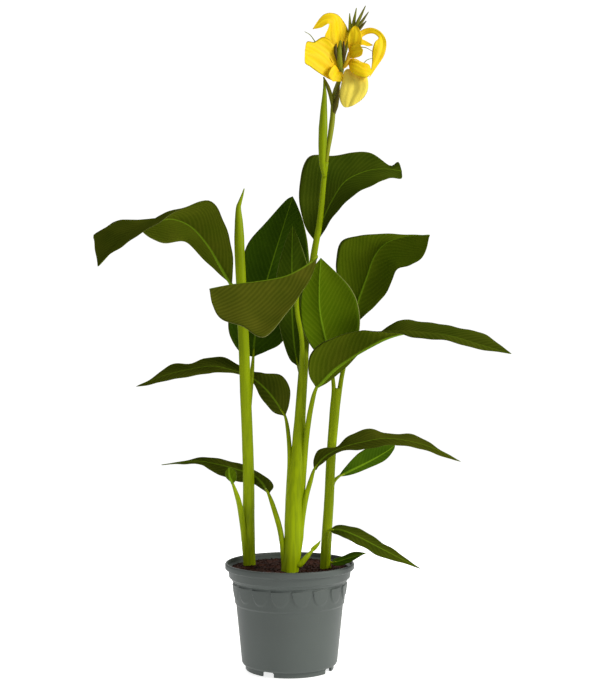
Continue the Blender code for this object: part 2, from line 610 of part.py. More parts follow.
def main():
    clear_scene()
    made = {}
    made["pot"] = (pot(), "pot_grey")

    rhizome_room = tube("rhizome_room", RHIZOME, RHIZOME_RADII, 2, 12, 2 * GAP)
    rooms = [stem_tube(name, GAP) for name in STEMS]
    made["soil"] = (boolean(soil(), rooms + [rhizome_room], "DIFFERENCE"), "soil_brown")
    made["rhizome"] = (tube("rhizome", RHIZOME, RHIZOME_RADII, 2, 12), "rhizome_tan")
    for name in STEMS:
        root_room = tube("root_room", RHIZOME, RHIZOME_RADII, 2, 12, GAP)
        made[name] = (boolean(stem_tube(name), [root_room], "DIFFERENCE"), "stem_green")

    roll = rolled("rolled_leaf", ROLLED_LEAF, 16)
    made["rolled_leaf"] = (boolean(roll, [stem_tube("stem_left", GAP)], "DIFFERENCE"), "stem_green")
    axis = rolled("flower_axis", FLOWER_AXIS, 20)
    bracts = [rolled("bract", form, 4) for form in BRACTS]
    axis = boolean(axis, bracts, "UNION")
    made["flower_axis"] = (boolean(axis, [stem_tube("stem_centre", GAP)], "DIFFERENCE"), "bud_green")
    spathe = rolled("spathe", SPATHE, 14)
    rooms = [stem_tube("stem_centre", GAP), *head_rooms()]
    made["spathe"] = (boolean(spathe, rooms, "DIFFERENCE"), "stem_green")

    buds = []
    for start, end in BUDS:
        middle = [tuple(a + (b - a) * share for a, b in zip(start, end)) for share in (0, 0.35, 0.7, 1)]
        buds.append(rolled("bud", (middle, BUD_RADII), 4))
    bunch = boolean(buds[0], buds[1:], "UNION")
    bunch.name = "buds"
    made["buds"] = (boolean(bunch, head_rooms(), "DIFFERENCE"), "bud_green")

    for name, form in BLOOMS.items():
        core = rolled(name, form["stalk"], 8)
        petals = [blade("petal", petal, 7 if len(petal["rib"]) < 5 else 13, 2, PETAL_THICKNESS, PETAL_ARCH)
                  for petal in form["petals"]]
        bloom = boolean(core, petals, "UNION")
        made[name] = (boolean(bloom, head_rooms(), "DIFFERENCE"), "petal_yellow")

    for name, form in LEAVES.items():
        large = len(form["left"]) + len(form["right"]) > 7
        made[name] = (leaf(name, form, 12 if large else 7, 2), "leaf_green")

    group = bpy.data.collections.new("canna_lily_plant")
    bpy.context.scene.collection.children.link(group)
    for name, (obj, colour) in made.items():
        obj.name = name
        tidy_up(obj, colour)
        bpy.context.scene.collection.objects.unlink(obj)
        group.objects.link(obj)


main()
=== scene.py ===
"""The looks of a canna lily in its nursery pot: leaves with veins and midribs, sheathed stems, a
yellow flower head, the moulded pot and its soil.

Metres, +Z up, with -Y as the front. Plant points are in millimetres as (x, z, y): x and z as they
appear from the front, on the upright plane through the pot's axis, and y as the distance behind
that plane. A point nearer or farther than the plane is drawn in or out from the eye.
"""

import math

import bmesh
import bpy
from mathutils import Matrix, Vector, noise


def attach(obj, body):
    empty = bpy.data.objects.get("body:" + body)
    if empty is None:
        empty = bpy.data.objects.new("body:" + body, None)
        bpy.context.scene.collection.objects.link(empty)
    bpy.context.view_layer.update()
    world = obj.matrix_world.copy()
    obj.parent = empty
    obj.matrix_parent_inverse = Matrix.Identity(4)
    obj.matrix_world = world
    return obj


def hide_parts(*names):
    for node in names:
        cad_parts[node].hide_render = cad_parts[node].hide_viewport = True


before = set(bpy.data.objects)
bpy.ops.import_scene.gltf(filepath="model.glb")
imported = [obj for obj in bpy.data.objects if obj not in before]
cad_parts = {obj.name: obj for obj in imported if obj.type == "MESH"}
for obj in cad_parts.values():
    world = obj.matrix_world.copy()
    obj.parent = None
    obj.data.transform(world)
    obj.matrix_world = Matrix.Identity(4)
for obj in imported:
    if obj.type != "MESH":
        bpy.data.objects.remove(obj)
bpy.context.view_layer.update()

MM = 0.001
EYE_DISTANCE = 1730.0
EYE_HEIGHT = 429.5
EYE_SIDE = 13.6
LENS = 78.756

# The pot, in millimetres
POT_HEIGHT = 139.0
RIM_RADIUS = 85.0
RIM_BOTTOM = 131.6
COLLAR_TOP = 129.8
COLLAR_BOTTOM = 120.6
BAND_TOP = 115.0
BAND_BOTTOM = 86.0
BAND_RADIUS = 74.5
BAND_TAPER = 2.5
BAND_ROWS = 45
CORNER = 0.5
FOOT_RADIUS = 58.0
FOOT_WIDTH = 3.6
FOOT_HEIGHT = 6.8
WALL = 1.8
FLOOR_TOP = 9.0
SCALLOPS = 17
SCALLOP_TURN = 0.174
SCALLOP_RELIEF = 1.7
POT_SIDES = 480
FEET = 4
NOTCH_TURN = math.radians(61.5)
NOTCH_WIDTH = 17.0
DRAIN_RADIUS = 4.5
DRAIN_CIRCLE = 40.0

# The soil, in millimetres
SOIL_TOP = 131.0
SOIL_LUMP = 2.2
SOIL_SIDES = 160
SOIL_RINGS = 44
CRUMBS_PER_M2 = 60000
CRUMB_SIZE = 2.1

# Leaves and petals, in millimetres
LEAF_THICKNESS = 0.8
PETAL_THICKNESS = 0.5
LEAF_STATIONS = 72
LEAF_COLUMNS = 14
PETAL_STATIONS = 36
PETAL_COLUMNS = 9
LEAF_ARCH = 0.10
PETAL_ARCH = 0.09
VEIN_SPACING = 9.0
VEIN_SWEEP = 1.3
VEIN_BEND = 0.005
PLEAT = 0.10
LEAF_RUFFLE = 0.9
PETAL_RUFFLE = 1.5
SHEATH_DROP = 90.0
SHEATH_STEPS = ((1.0, 1.25), (0.62, 1.02), (0.3, 0.80), (0.08, 0.55))
SHEATH_SWELL = (0.9, 1.15, 1.25, 1.2)
STALK_SWELL = 1.02
BASE_SWELL = 0.86
RIB_SWELL = 0.35
RIDGE = 0.62

# The studio: light on the plant and on the backdrop, and the two lamps
AMBIENT = 0.42
BACKDROP = 1.05
FLOOR_RADIUS = 1.1
FLOOR_GLOW = 0.75
KEY_PLACE = (2.5, -1.2, 1.9)
KEY_POWER = 88
KEY_COLOUR = (1, 0.98, 0.93)
BACK_PLACE = (-0.6, 2.2, 2.0)
BACK_POWER = 34

# Each stem: the points of its middle and its radius at each of them
STEMS = {
    "stem_left": (
        [(-53, 82, 24), (-53, 134, 24), (-54, 194, 20), (-54, 247, 15), (-56, 313, 8), (-58, 359, 4),
         (-60, 418, 0), (-62, 460, -2)],
        [8.0, 8.2, 8.0, 7.6, 7.4, 7.3, 7.2, 7.0]),
    "stem_centre": (
        [(0, 73, -24), (0, 124, -26), (3, 144, -25), (5, 171, -22), (7, 221, -18), (11, 273, -12),
         (14, 333, -6), (18, 392, 0), (21, 445, 3), (26, 497, 3), (32, 544, 2), (39, 583, -4),
         (42, 609, -7), (45, 642, -9), (48, 666, -10)],
        [9.0, 9.6, 11.4, 12.2, 11.6, 9.2, 7.2, 6.6, 6.0, 5.4, 5.0, 4.4, 4.0, 3.6, 3.4]),
    "stem_right": (
        [(47, 81, 2), (47, 131, 2), (49, 174, 4), (52, 221, 6), (54, 267, 8), (57, 313, 10),
         (60, 352, 12), (62, 368, 13)],
        [6.8, 7.0, 6.8, 6.5, 6.3, 6.2, 6.0, 5.6]),
}

# Leaves still rolled up, and the green parts of the flower's head: points, radii
ROLLED_LEAF = (
    [(-62, 458, -2), (-62, 466, -2), (-64, 504, -3), (-66, 544, -4), (-67, 583, -4), (-67.6, 605, -4),
     (-65.6, 613, -4), (-62.6, 622, -3), (-60, 631, -2)],
    [6.3, 6.7, 6.7, 6.6, 6.6, 6.5, 5.2, 2.8, 0.7])
SPATHE = (
    [(46, 646, -11), (43, 664, -18), (43, 682, -19), (44, 711, -19), (45, 737, -18), (46, 758, -17),
     (45, 775, -15)],
    [2.6, 4.2, 5.4, 5.8, 4.6, 3.0, 0.7])
FLOWER_AXIS = (
    [(47.8, 663, -10), (50, 682, -10), (53.5, 702, -9), (56.4, 724, -7), (57.3, 742, -6), (59, 757, -5),
     (63, 769, -3), (68, 782, -1), (72, 806, 1), (77, 824, 2), (82, 837, 2)],
    [2.7, 3.3, 3.5, 3.7, 3.3, 2.8, 2.6, 2.5, 2.3, 2.2, 2.0])
BRACTS = [
    ([(57, 736, -6), (54.5, 752, -10), (50, 766, -13), (44.5, 778, -15)], [2.0, 2.8, 2.6, 1.0]),
    ([(57, 726, -6), (61, 742, -10), (63.5, 755, -12), (65.5, 767, -13)], [2.0, 3.6, 2.8, 0.8]),
    ([(68, 781, -1), (66, 794, -9), (65.5, 808, -12), (67, 826, -11)], [2.2, 4.2, 4.8, 1.4]),
]
BUDS = [
    ((80, 828, 2), (79, 862, 6)), ((81, 832, 2), (88, 869, 4)), ((82, 832, 2), (94, 862, -4)),
    ((82, 834, 2), (100, 872, 1)), ((83, 833, 2), (104, 864, 9)), ((83, 832, 2), (101, 852, -8)),
]
BUD_RADII = [1.6, 2.7, 1.9, 0.6]

# Each leaf: its stalk from the stem, and the blade's base, rib, two edges and tip
LEAVES = {
    "leaf_upper_left": dict(
        base=(-76, 503, 10), tip=(-253, 528, 26), stalk_radius=3.6, bronze=0.75,
        stalk=[(-61, 425, 4), (-66, 455, 11), (-70, 482, 11)],
        rib=[(-92, 530, 8), (-108, 557, 8), (-131, 582, 10), (-159, 592, 16), (-184, 582, 20),
             (-217, 566, 26)],
        left=[(-91, 517, 20), (-118, 541, 40), (-137, 561, 52), (-171, 559, 62), (-200, 578, 74),
              (-228, 586, 80), (-236, 584, 80), (-258, 571, 74), (-258, 562, 70)],
        right=[(-75, 547, -8), (-87, 587, -22), (-105, 616, -32), (-141, 604, -38), (-171, 588, -40),
               (-205, 565, -26), (-237, 544, 6)],
    ),
    "leaf_front": dict(
        base=(37, 542, -38), tip=(-106, 499, -104), stalk_radius=2.9, bronze=0.95,
        stalk=[(18, 385, -3), (16, 431, -10), (10, 468, -16), (10, 492, -24), (20, 521, -32)],
        rib=[(21, 530, -47), (-6, 516, -60), (-42, 509, -80), (-76, 505, -96)],
        left=[(31, 521, -44), (16, 493, -62), (-8, 462, -88), (-34, 434, -108), (-62, 449, -112),
              (-91, 460, -110), (-102, 478, -106)],
        right=[(24, 529, -22), (0, 500, -28), (-37, 489, -48), (-71, 494, -72), (-92, 500, -88)],
    ),
    "leaf_tall_left": dict(
        base=(-48, 409, 34), tip=(4, 621, 54), stalk_radius=3.2, bronze=0.1,
        stalk=[(-56, 339, 12), (-51, 372, 20)],
        rib=[(-46, 434, 44), (-37, 484, 56), (-23, 534, 60), (-9, 579, 58)],
        left=[(-66, 416, 34), (-80, 441, 36), (-79, 471, 44), (-66, 517, 52), (-56, 557, 54),
              (-31, 587, 54), (-6, 615, 54)],
        right=[(-30, 417, 34), (-9, 430, 32), (8, 471, 40), (25, 517, 56), (24, 557, 62), (18, 587, 60),
               (10, 609, 56)],
    ),
    "leaf_tall_centre": dict(
        base=(11, 397, 24), tip=(4, 583, 32), stalk_radius=2.6, bronze=0.3,
        stalk=[(18, 363, 6), (15, 381, 16)],
        rib=[(6, 425, 30), (3, 471, 34), (3, 511, 34), (3, 550, 32)],
        left=[(0, 406, 22), (-9, 431, 20), (-17, 468, 22), (-18, 511, 26), (-8, 554, 30)],
        right=[(21, 412, 20), (29, 445, 24), (31, 484, 28), (25, 524, 32), (15, 557, 34)],
    ),
    "leaf_top": dict(
        base=(35, 559, 11), tip=(148, 654, 18), stalk_radius=3.4, bronze=0.45,
        stalk=[(29, 517, 8), (32, 540, 10)],
        rib=[(43, 587, 12), (57, 617, 16), (74, 641, 20), (101, 654, 22), (126, 657, 18)],
        left=[(20, 582, 18), (12, 616, 30), (14, 642, 36), (25, 673, 34), (54, 675, 40), (82, 678, 42),
              (107, 678, 40), (132, 662, 30), (143, 667, 24)],
        right=[(49, 580, -6), (62, 600, -16), (81, 619, -24), (112, 637, -20), (130, 644, -4),
               (147, 644, 8)],
    ),
    "leaf_upper_right": dict(
        base=(81, 449, 28), tip=(185, 570, 8), stalk_radius=3.0, bronze=0.35, turned=True,
        stalk=[(63, 355, 13), (69, 385, 16), (76, 418, 22)],
        rib=[(89, 478, 36), (101, 511, 44), (112, 541, 46), (128, 559, 42), (152, 567, 30)],
        left=[(72, 474, 38), (64, 507, 46), (61, 534, 54), (68, 562, 60), (93, 569, 64), (132, 572, 62),
              (165, 570, 42)],
        right=[(94, 459, 24), (112, 476, 22), (130, 497, 20), (141, 524, 14), (161, 530, 4),
               (177, 544, 0)],
    ),
    "leaf_centre_right": dict(
        base=(55, 395, 8), tip=(41, 540, -16), stalk_radius=2.9, bronze=0.1,
        stalk=[(60, 350, 10), (58, 368, 10)],
        rib=[(48, 428, 2), (40, 468, -8), (39, 504, -14)],
        left=[(39, 409, -2), (20, 438, -12), (14, 474, -14), (20, 511, -16)],
        right=[(74, 410, 4), (91, 439, 0), (91, 474, -4), (81, 499, -8), (61, 521, -12)],
    ),
    "leaf_long_right": dict(
        base=(35, 368, -22), tip=(293, 413, -138), stalk_radius=3.5, bronze=0.65,
        stalk=[(18, 268, -16), (23, 310, -18), (28, 342, -20)],
        rib=[(58, 391, -32), (79, 406, -40), (105, 422, -48), (132, 435, -58), (161, 441, -72),
             (205, 438, -98), (251, 425, -122)],
        left=[(25, 387, -30), (28, 414, -26), (53, 433, -24), (91, 443, -34), (132, 441, -80),
              (165, 435, -106), (211, 429, -128), (256, 418, -138)],
        right=[(50, 375, -20), (79, 400, -10), (108, 429, 2), (136, 451, -2), (155, 458, -10),
               (203, 451, -48), (228, 447, -70), (261, 437, -104)],
    ),
    "leaf_mid_left": dict(
        base=(-6, 331, 5), tip=(-203, 370, 8), stalk_radius=3.0, bronze=0.75,
        stalk=[(4, 244, -18), (0, 279, -12), (-2, 309, 0)],
        rib=[(-21, 354, 14), (-37, 372, 24), (-54, 384, 32), (-76, 392, 36), (-102, 397, 36),
             (-131, 393, 32), (-164, 385, 22)],
        left=[(-23, 337, 20), (-39, 358, 27), (-50, 377, 28), (-66, 386, 24), (-88, 389, 8),
              (-110, 388, 0), (-132, 383, -4), (-160, 379, 0), (-185, 372, 4)],
        right=[(0, 348, -8), (0, 367, -12), (-11, 385, -2), (-33, 388, 20), (-52, 392, 40),
               (-71, 401, 54), (-91, 409, 62), (-112, 408, 64), (-131, 401, 62), (-158, 398, 50),
               (-184, 380, 26)],
    ),
    "leaf_low_left": dict(
        base=(-28, 229, -4), tip=(-170, 267, 36), stalk_radius=3.5, bronze=0.7,
        stalk=[(-5, 142, -28), (-12, 178, -24), (-21, 210, -14)],
        rib=[(-37, 244, 12), (-51, 255, 28), (-69, 261, 36), (-96, 268, 40), (-125, 272, 38)],
        left=[(-37, 235, 6), (-50, 243, 22), (-66, 244, 28), (-84, 251, 26), (-105, 259, 26),
              (-122, 268, 30)],
        right=[(-21, 238, -2), (-27, 248, 12), (-44, 259, 36), (-62, 267, 46), (-89, 275, 52),
               (-108, 277, 52), (-131, 274, 44)],
    ),
    "leaf_stub_left": dict(
        base=(-75, 242, -4), tip=(-80, 264, -14), stalk_radius=3.9,
        stalk=[(-58, 152, 20), (-62, 189, 12), (-67, 218, 4)],
        rib=[(-79, 252, -8)],
        left=[(-84, 250, -6), (-85, 258, -10)],
        right=[(-70, 248, -8), (-71, 258, -14)],
    ),
    "leaf_low_right": dict(
        base=(32, 260, -20), tip=(226, 271, -66), stalk_radius=3.5, bronze=0.8,
        stalk=[(14, 194, -24), (21, 222, -24), (27, 244, -22)],
        rib=[(44, 276, -24), (66, 289, -30), (95, 297, -38), (126, 302, -46), (159, 298, -54),
             (192, 288, -60)],
        left=[(31, 273, -14), (36, 285, -8), (47, 289, -7), (62, 291, -8), (79, 307, 0), (107, 314, 4),
              (126, 309, 0), (156, 308, -14), (182, 298, -32), (207, 282, -52)],
        right=[(41, 267, -28), (53, 277, -34), (66, 284, -42), (82, 286, -52), (107, 289, -64),
               (141, 293, -74), (165, 290, -76), (198, 279, -72)],
    ),
    "leaf_back_right": dict(
        base=(64, 251, 18), tip=(139, 293, 140), stalk_radius=2.9, bronze=0.1,
        stalk=[(54, 227, 8), (57, 242, 12)],
        rib=[(82, 260, 42), (106, 272, 78), (127, 284, 114)],
        left=[(73, 264, 34), (93, 284, 66), (116, 294, 106)],
        right=[(82, 254, 40), (103, 262, 70), (126, 273, 104), (137, 286, 130)],
    ),
    "leaf_lowest_right": dict(
        base=(53, 181, -8), tip=(173, 130, -76), stalk_radius=2.2, bronze=0.6,
        stalk=[(49, 157, 2), (50, 173, -4)],
        rib=[(66, 182, -18), (87, 174, -34), (116, 159, -52), (145, 144, -66)],
        left=[(60, 187, -2), (72, 188, -4), (87, 184, -14), (107, 175, -28), (128, 161, -46),
              (149, 147, -60)],
        right=[(58, 176, -16), (73, 171, -36), (94, 159, -58), (118, 147, -72), (140, 140, -78)],
    ),
    "leaf_rim_right": dict(
        base=(56, 138, 0), tip=(101, 151, -22), stalk_radius=2.2,
        stalk=[(47, 142, 2), (52, 139, 1)],
        rib=[(68, 141, -6), (82, 145, -16)],
        left=[(58, 143, 8), (68, 147, 8), (79, 150, 0), (91, 152, -8)],
        right=[(58, 134, -10), (71, 136, -24), (82, 140, -27), (93, 147, -26)],
    ),
    "leaf_soil_shoot": dict(
        base=(29, 153, -22), tip=(41, 167, -15), stalk_radius=4.0, sheath=True,
        stalk=[(3, 135, -26), (14, 136, -29), (22, 145, -26)],
        rib=[(34, 159, -18)],
        left=[(28, 157, -20), (35, 163, -17)],
        right=[(34, 155, -21), (39, 161, -17)],
    ),
}

# Each bloom: its stalk with radii, and its petals, given as leaves are
BLOOMS = {
    "bloom_left": dict(
        stalk=(
            [(58, 749, -5), (62, 762, -9), (65, 773, -10), (65, 782, -8), (64, 789, -5)],
            [1.8, 2.2, 2.8, 3.2, 2.4]),
        petals=[
            dict(base=(65, 785, -4), tip=(30, 841, -22),
                 rib=[(62, 811, -8), (60, 835, -11), (58, 854, -14), (44, 853, -18)],
                 left=[(54, 798, -14), (47, 819, -17), (48, 835, -19), (52, 847, -20), (41, 843, -22)],
                 right=[(73, 801, 9), (77, 824, 10), (74, 845, 5), (64, 861, -4), (45, 861, -12)]),
            dict(base=(65, 778, -7), tip=(20, 814, -38),
                 rib=[(53, 793, -18), (37, 807, -28)],
                 left=[(58, 773, -14), (41, 782, -26), (28, 792, -34), (20, 796, -40), (19, 804, -40)],
                 right=[(61, 811, -12), (47, 831, -18), (33, 825, -25), (23, 825, -32)]),
            dict(base=(66, 785, -8), tip=(57, 772, -27),
                 rib=[(61, 783, -20)],
                 left=[(58, 794, -20), (50, 781, -28)],
                 right=[(72, 782, -12), (68, 772, -18)]),
        ]),
    "bloom_right": dict(
        stalk=(
            [(69, 790, 0), (74, 794, -6), (77, 801, -7), (79, 810, -3)],
            [2.0, 3.0, 3.2, 2.4]),
        petals=[
            dict(base=(76, 789, -10), tip=(77, 738, -30), pale=1.0,
                 rib=[(83, 780, -22), (86, 764, -28), (81, 749, -31)],
                 left=[(71, 783, -17), (67, 766, -25), (66, 749, -28), (71, 739, -29)],
                 right=[(98, 785, -19), (103, 775, -27), (103, 762, -33), (96, 750, -33), (85, 741, -32)]),
            dict(base=(76, 798, -4), tip=(108, 785, -20),
                 rib=[(87, 796, -22), (98, 789, -28)],
                 left=[(81, 785, -27), (93, 778, -35), (102, 777, -35)],
                 right=[(83, 803, -8), (94, 800, -13), (103, 795, -18)]),
            dict(base=(79, 808, -3), tip=(105, 777, -8),
                 rib=[(89, 827, 2), (98, 837, 8), (111, 839, 8), (121, 832, 5), (123, 819, 1),
                      (118, 803, -3), (111, 791, -6)],
                 left=[(90, 822, 1), (98, 833, 7), (110, 835, 7), (117, 829, 3), (111, 822, -3),
                       (109, 807, -6), (108, 793, -7)],
                 right=[(87, 832, 5), (97, 841, 9), (111, 843, 9), (122, 837, 6), (127, 823, 3),
                        (125, 808, 0), (115, 791, -4)]),
            dict(base=(78, 808, -2), tip=(86, 846, -8),
                 rib=[(85, 823, -9), (87, 835, -11)],
                 left=[(77, 822, -6), (77, 833, -9), (81, 842, -9)],
                 right=[(94, 820, -11), (95, 833, -12), (91, 842, -10)]),
            dict(base=(79, 808, -4), tip=(110, 820, -1),
                 rib=[(91, 824, -3), (101, 824, -1)],
                 left=[(88, 829, 0), (98, 828, 2), (105, 824, 1)],
                 right=[(93, 818, -7), (101, 819, -4)]),
            dict(base=(77, 803, -6), tip=(97, 814, -21),
                 rib=[(87, 811, -15)],
                 left=[(81, 820, -12), (91, 822, -17)],
                 right=[(85, 803, -13), (94, 807, -19)]),
        ]),
}

# Dark bracts beside the left bloom's throat, and the thin filaments of each bloom
DARK_BRACTS = [
    ([(62.3, 800, -13), (60.4, 811, -16), (61, 821, -15)], [1.0, 2.2, 0.9]),
    ([(70.2, 797, -11), (71.6, 811, -15), (70.9, 825, -14)], [1.2, 2.5, 0.9]),
]
FILAMENTS = {
    "bloom_left": [[(34, 824, -24), (27, 833.5, -27), (19.5, 838, -28)]],
    "bloom_right": [
        [(90, 818, -4), (100.6, 816.6, -4), (109, 812, -3)],
        [(95, 793, -14), (101.9, 800.5, -11), (110, 803, -6)],
    ],
}
FILAMENT_RADII = [0.8, 0.55, 0.35]

# Colours, as linear light
LEAF_TOP_DEEP = (0.015, 0.044, 0.002, 1)
LEAF_TOP_CLEAR = (0.040, 0.090, 0.002, 1)
LEAF_VEIN = (0.070, 0.135, 0.010, 1)
BRONZE_DEEP = (0.046, 0.045, 0.003, 1)
BRONZE_CLEAR = (0.112, 0.108, 0.010, 1)
# The underside's own paler green, brightened further by painted light shining through the leaf
LEAF_UNDER_BACKLIT_DEEP = (0.040, 0.090, 0.001, 1)
LEAF_UNDER_BACKLIT_CLEAR = (0.086, 0.140, 0.002, 1)
LEAF_UNDER_VEIN = (0.140, 0.200, 0.008, 1)
# A painted highlight: the leaf's margin as it catches the light
LEAF_EDGE_HIGHLIGHT = (0.330, 0.340, 0.120, 1)
MIDRIB = (0.160, 0.280, 0.010, 1)
STEM_LOW = (0.290, 0.385, 0.001, 1)
STEM_HIGH = (0.225, 0.300, 0.001, 1)
STEM_STREAK = (0.150, 0.215, 0.001, 1)
STEM_SHADE = (0.110, 0.150, 0.001, 1)
BRACT_GREEN = (0.230, 0.260, 0.003, 1)
BRACT_BROWN = (0.060, 0.038, 0.006, 1)
PETAL_YELLOW = (0.830, 0.620, 0.004, 1)
PETAL_DEEP = (0.780, 0.400, 0.001, 1)
PETAL_PALE = (0.880, 0.740, 0.100, 1)
POT_DEEP = (0.058, 0.068, 0.062, 1)
POT_CLEAR = (0.082, 0.097, 0.090, 1)
POT_DUST = (0.110, 0.125, 0.118, 1)
SOIL_DEEP = (0.012, 0.005, 0.003, 1)
SOIL_CLEAR = (0.050, 0.014, 0.006, 1)
SOIL_FIBRE = (0.085, 0.032, 0.014, 1)
RHIZOME = (0.350, 0.220, 0.100, 1)


def seen(point):
    """The place in the model, in metres, of a plant point (x, z, y)."""
    x, z, behind = point
    draw = 1 + behind / EYE_DISTANCE
    return Vector((EYE_SIDE + (x - EYE_SIDE) * draw, behind, EYE_HEIGHT + (z - EYE_HEIGHT) * draw)) * MM


def smooth_line(points, count, steps_per_span=12):
    """count + 1 evenly spaced points on a smooth curve through the given points."""
    ends = [points[0] * 2 - points[1], *points, points[-1] * 2 - points[-2]]
    fine = []
    for a, b, c, d in zip(ends, ends[1:], ends[2:], ends[3:]):
        for step in range(steps_per_span):
            t = step / steps_per_span
            fine.append(b + (c - a) * (t / 2) + (a * 2 - b * 5 + c * 4 - d) * (t * t / 2)
                        + (b * 3 - a - c * 3 + d) * (t ** 3 / 2))
    fine.append(points[-1])
    reach = [0.0]
    for a, b in zip(fine, fine[1:]):
        reach.append(reach[-1] + (b - a).length)
    line = []
    span = 0
    for index in range(count + 1):
        target = reach[-1] * index / count
        while span < len(fine) - 2 and reach[span + 1] < target:
            span += 1
        share = (target - reach[span]) / max(reach[span + 1] - reach[span], 1e-9)
        line.append(fine[span].lerp(fine[span + 1], min(max(share, 0), 1)))
    return line


def read_between(values, share):
    """The value at a share of the way, from 0 to 1, along a list of numbers."""
    at = min(max(share, 0), 1) * (len(values) - 1)
    low = min(int(at), len(values) - 2)
    return values[low] + (values[low + 1] - values[low]) * (at - low)


class Shape:
    """A mesh under construction. Each point may carry notes, which become the mesh's attributes."""

    def __init__(self):
        self.places, self.faces, self.slots, self.notes = [], [], [], []

    def point(self, place, **notes):
        self.places.append(place)
        self.notes.append(notes)
        return len(self.places) - 1

    def face(self, corners, slot=0):
        self.faces.append(corners)
        self.slots.append(slot)

    def made(self, name, materials):
        mesh = bpy.data.meshes.new(name)
        mesh.from_pydata(self.places, [], self.faces)
        for finish in materials:
            mesh.materials.append(finish)
        mesh.polygons.foreach_set("material_index", self.slots)
        for note in sorted({key for notes in self.notes for key in notes}):
            layer = mesh.attributes.new(note, "FLOAT", "POINT")
            layer.data.foreach_set("value", [notes.get(note, 0.0) for notes in self.notes])
        mesh.shade_smooth()
        mesh.validate()
        obj = bpy.data.objects.new(f"{name}_surface", mesh)
        bpy.context.scene.collection.objects.link(obj)
        return obj


def baked(obj):
    """A plain mesh object in obj's stead, with its modifiers applied."""
    bpy.context.view_layer.update()
    mesh = bpy.data.meshes.new_from_object(obj.evaluated_get(bpy.context.evaluated_depsgraph_get()))
    mesh.transform(obj.matrix_world)
    name = obj.name
    bpy.data.objects.remove(obj)
    made = bpy.data.objects.new(name, mesh)
    bpy.context.scene.collection.objects.link(made)
    return made


def show(obj, slot, *nodes):
    """The finished piece stands for its nodes, whose parts it hides; the slot is not used."""
    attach(obj, "root")
    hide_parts(*nodes)


def add_tube(shape, middle, radius, sides, slot=0, flat=1.0, seam=0.0, across=None, tint=0.0):
    """Adds a closed tube round a line. radius(share) is in mm. flat squeezes it, and a seam makes
    its wall overlap itself like a rolled leaf's."""
    rings = []
    turn = across or Vector((1, 0, 0))
    along = 0.0
    count = len(middle) - 1
    for index, place in enumerate(middle):
        run = (middle[min(index + 1, count)] - middle[max(index - 1, 0)]).normalized()
        turn = (turn - run * turn.dot(run)).normalized()
        side = run.cross(turn)
        if index:
            along += (place - middle[index - 1]).length / MM
        size = radius(index / count) * MM
        ring = []
        for step in range(sides):
            angle = math.tau * step / sides
            reach = size * (1 + seam * (step / sides - 0.5))
            spot = place + turn * (math.cos(angle) * reach) + side * (math.sin(angle) * reach * flat)
            ring.append(shape.point(spot, along=along, tint=tint))
        rings.append(ring)
    for low, high in zip(rings, rings[1:]):
        for step in range(sides):
            after = (step + 1) % sides
            shape.face((low[step], low[after], high[after], high[step]), slot)
    for ring, end, flip in ((rings[0], middle[0], True), (rings[-1], middle[-1], False)):
        cap = shape.point(end, along=0.0 if flip else along, tint=tint)
        for step in range(sides):
            pair = (ring[step], ring[(step + 1) % sides])
            shape.face((*(reversed(pair) if flip else pair), cap), slot)


def vein_run(across):
    """How far towards the tip a side vein has run, in mm, at this distance from the midrib."""
    return VEIN_SWEEP * across + VEIN_BEND * across * across


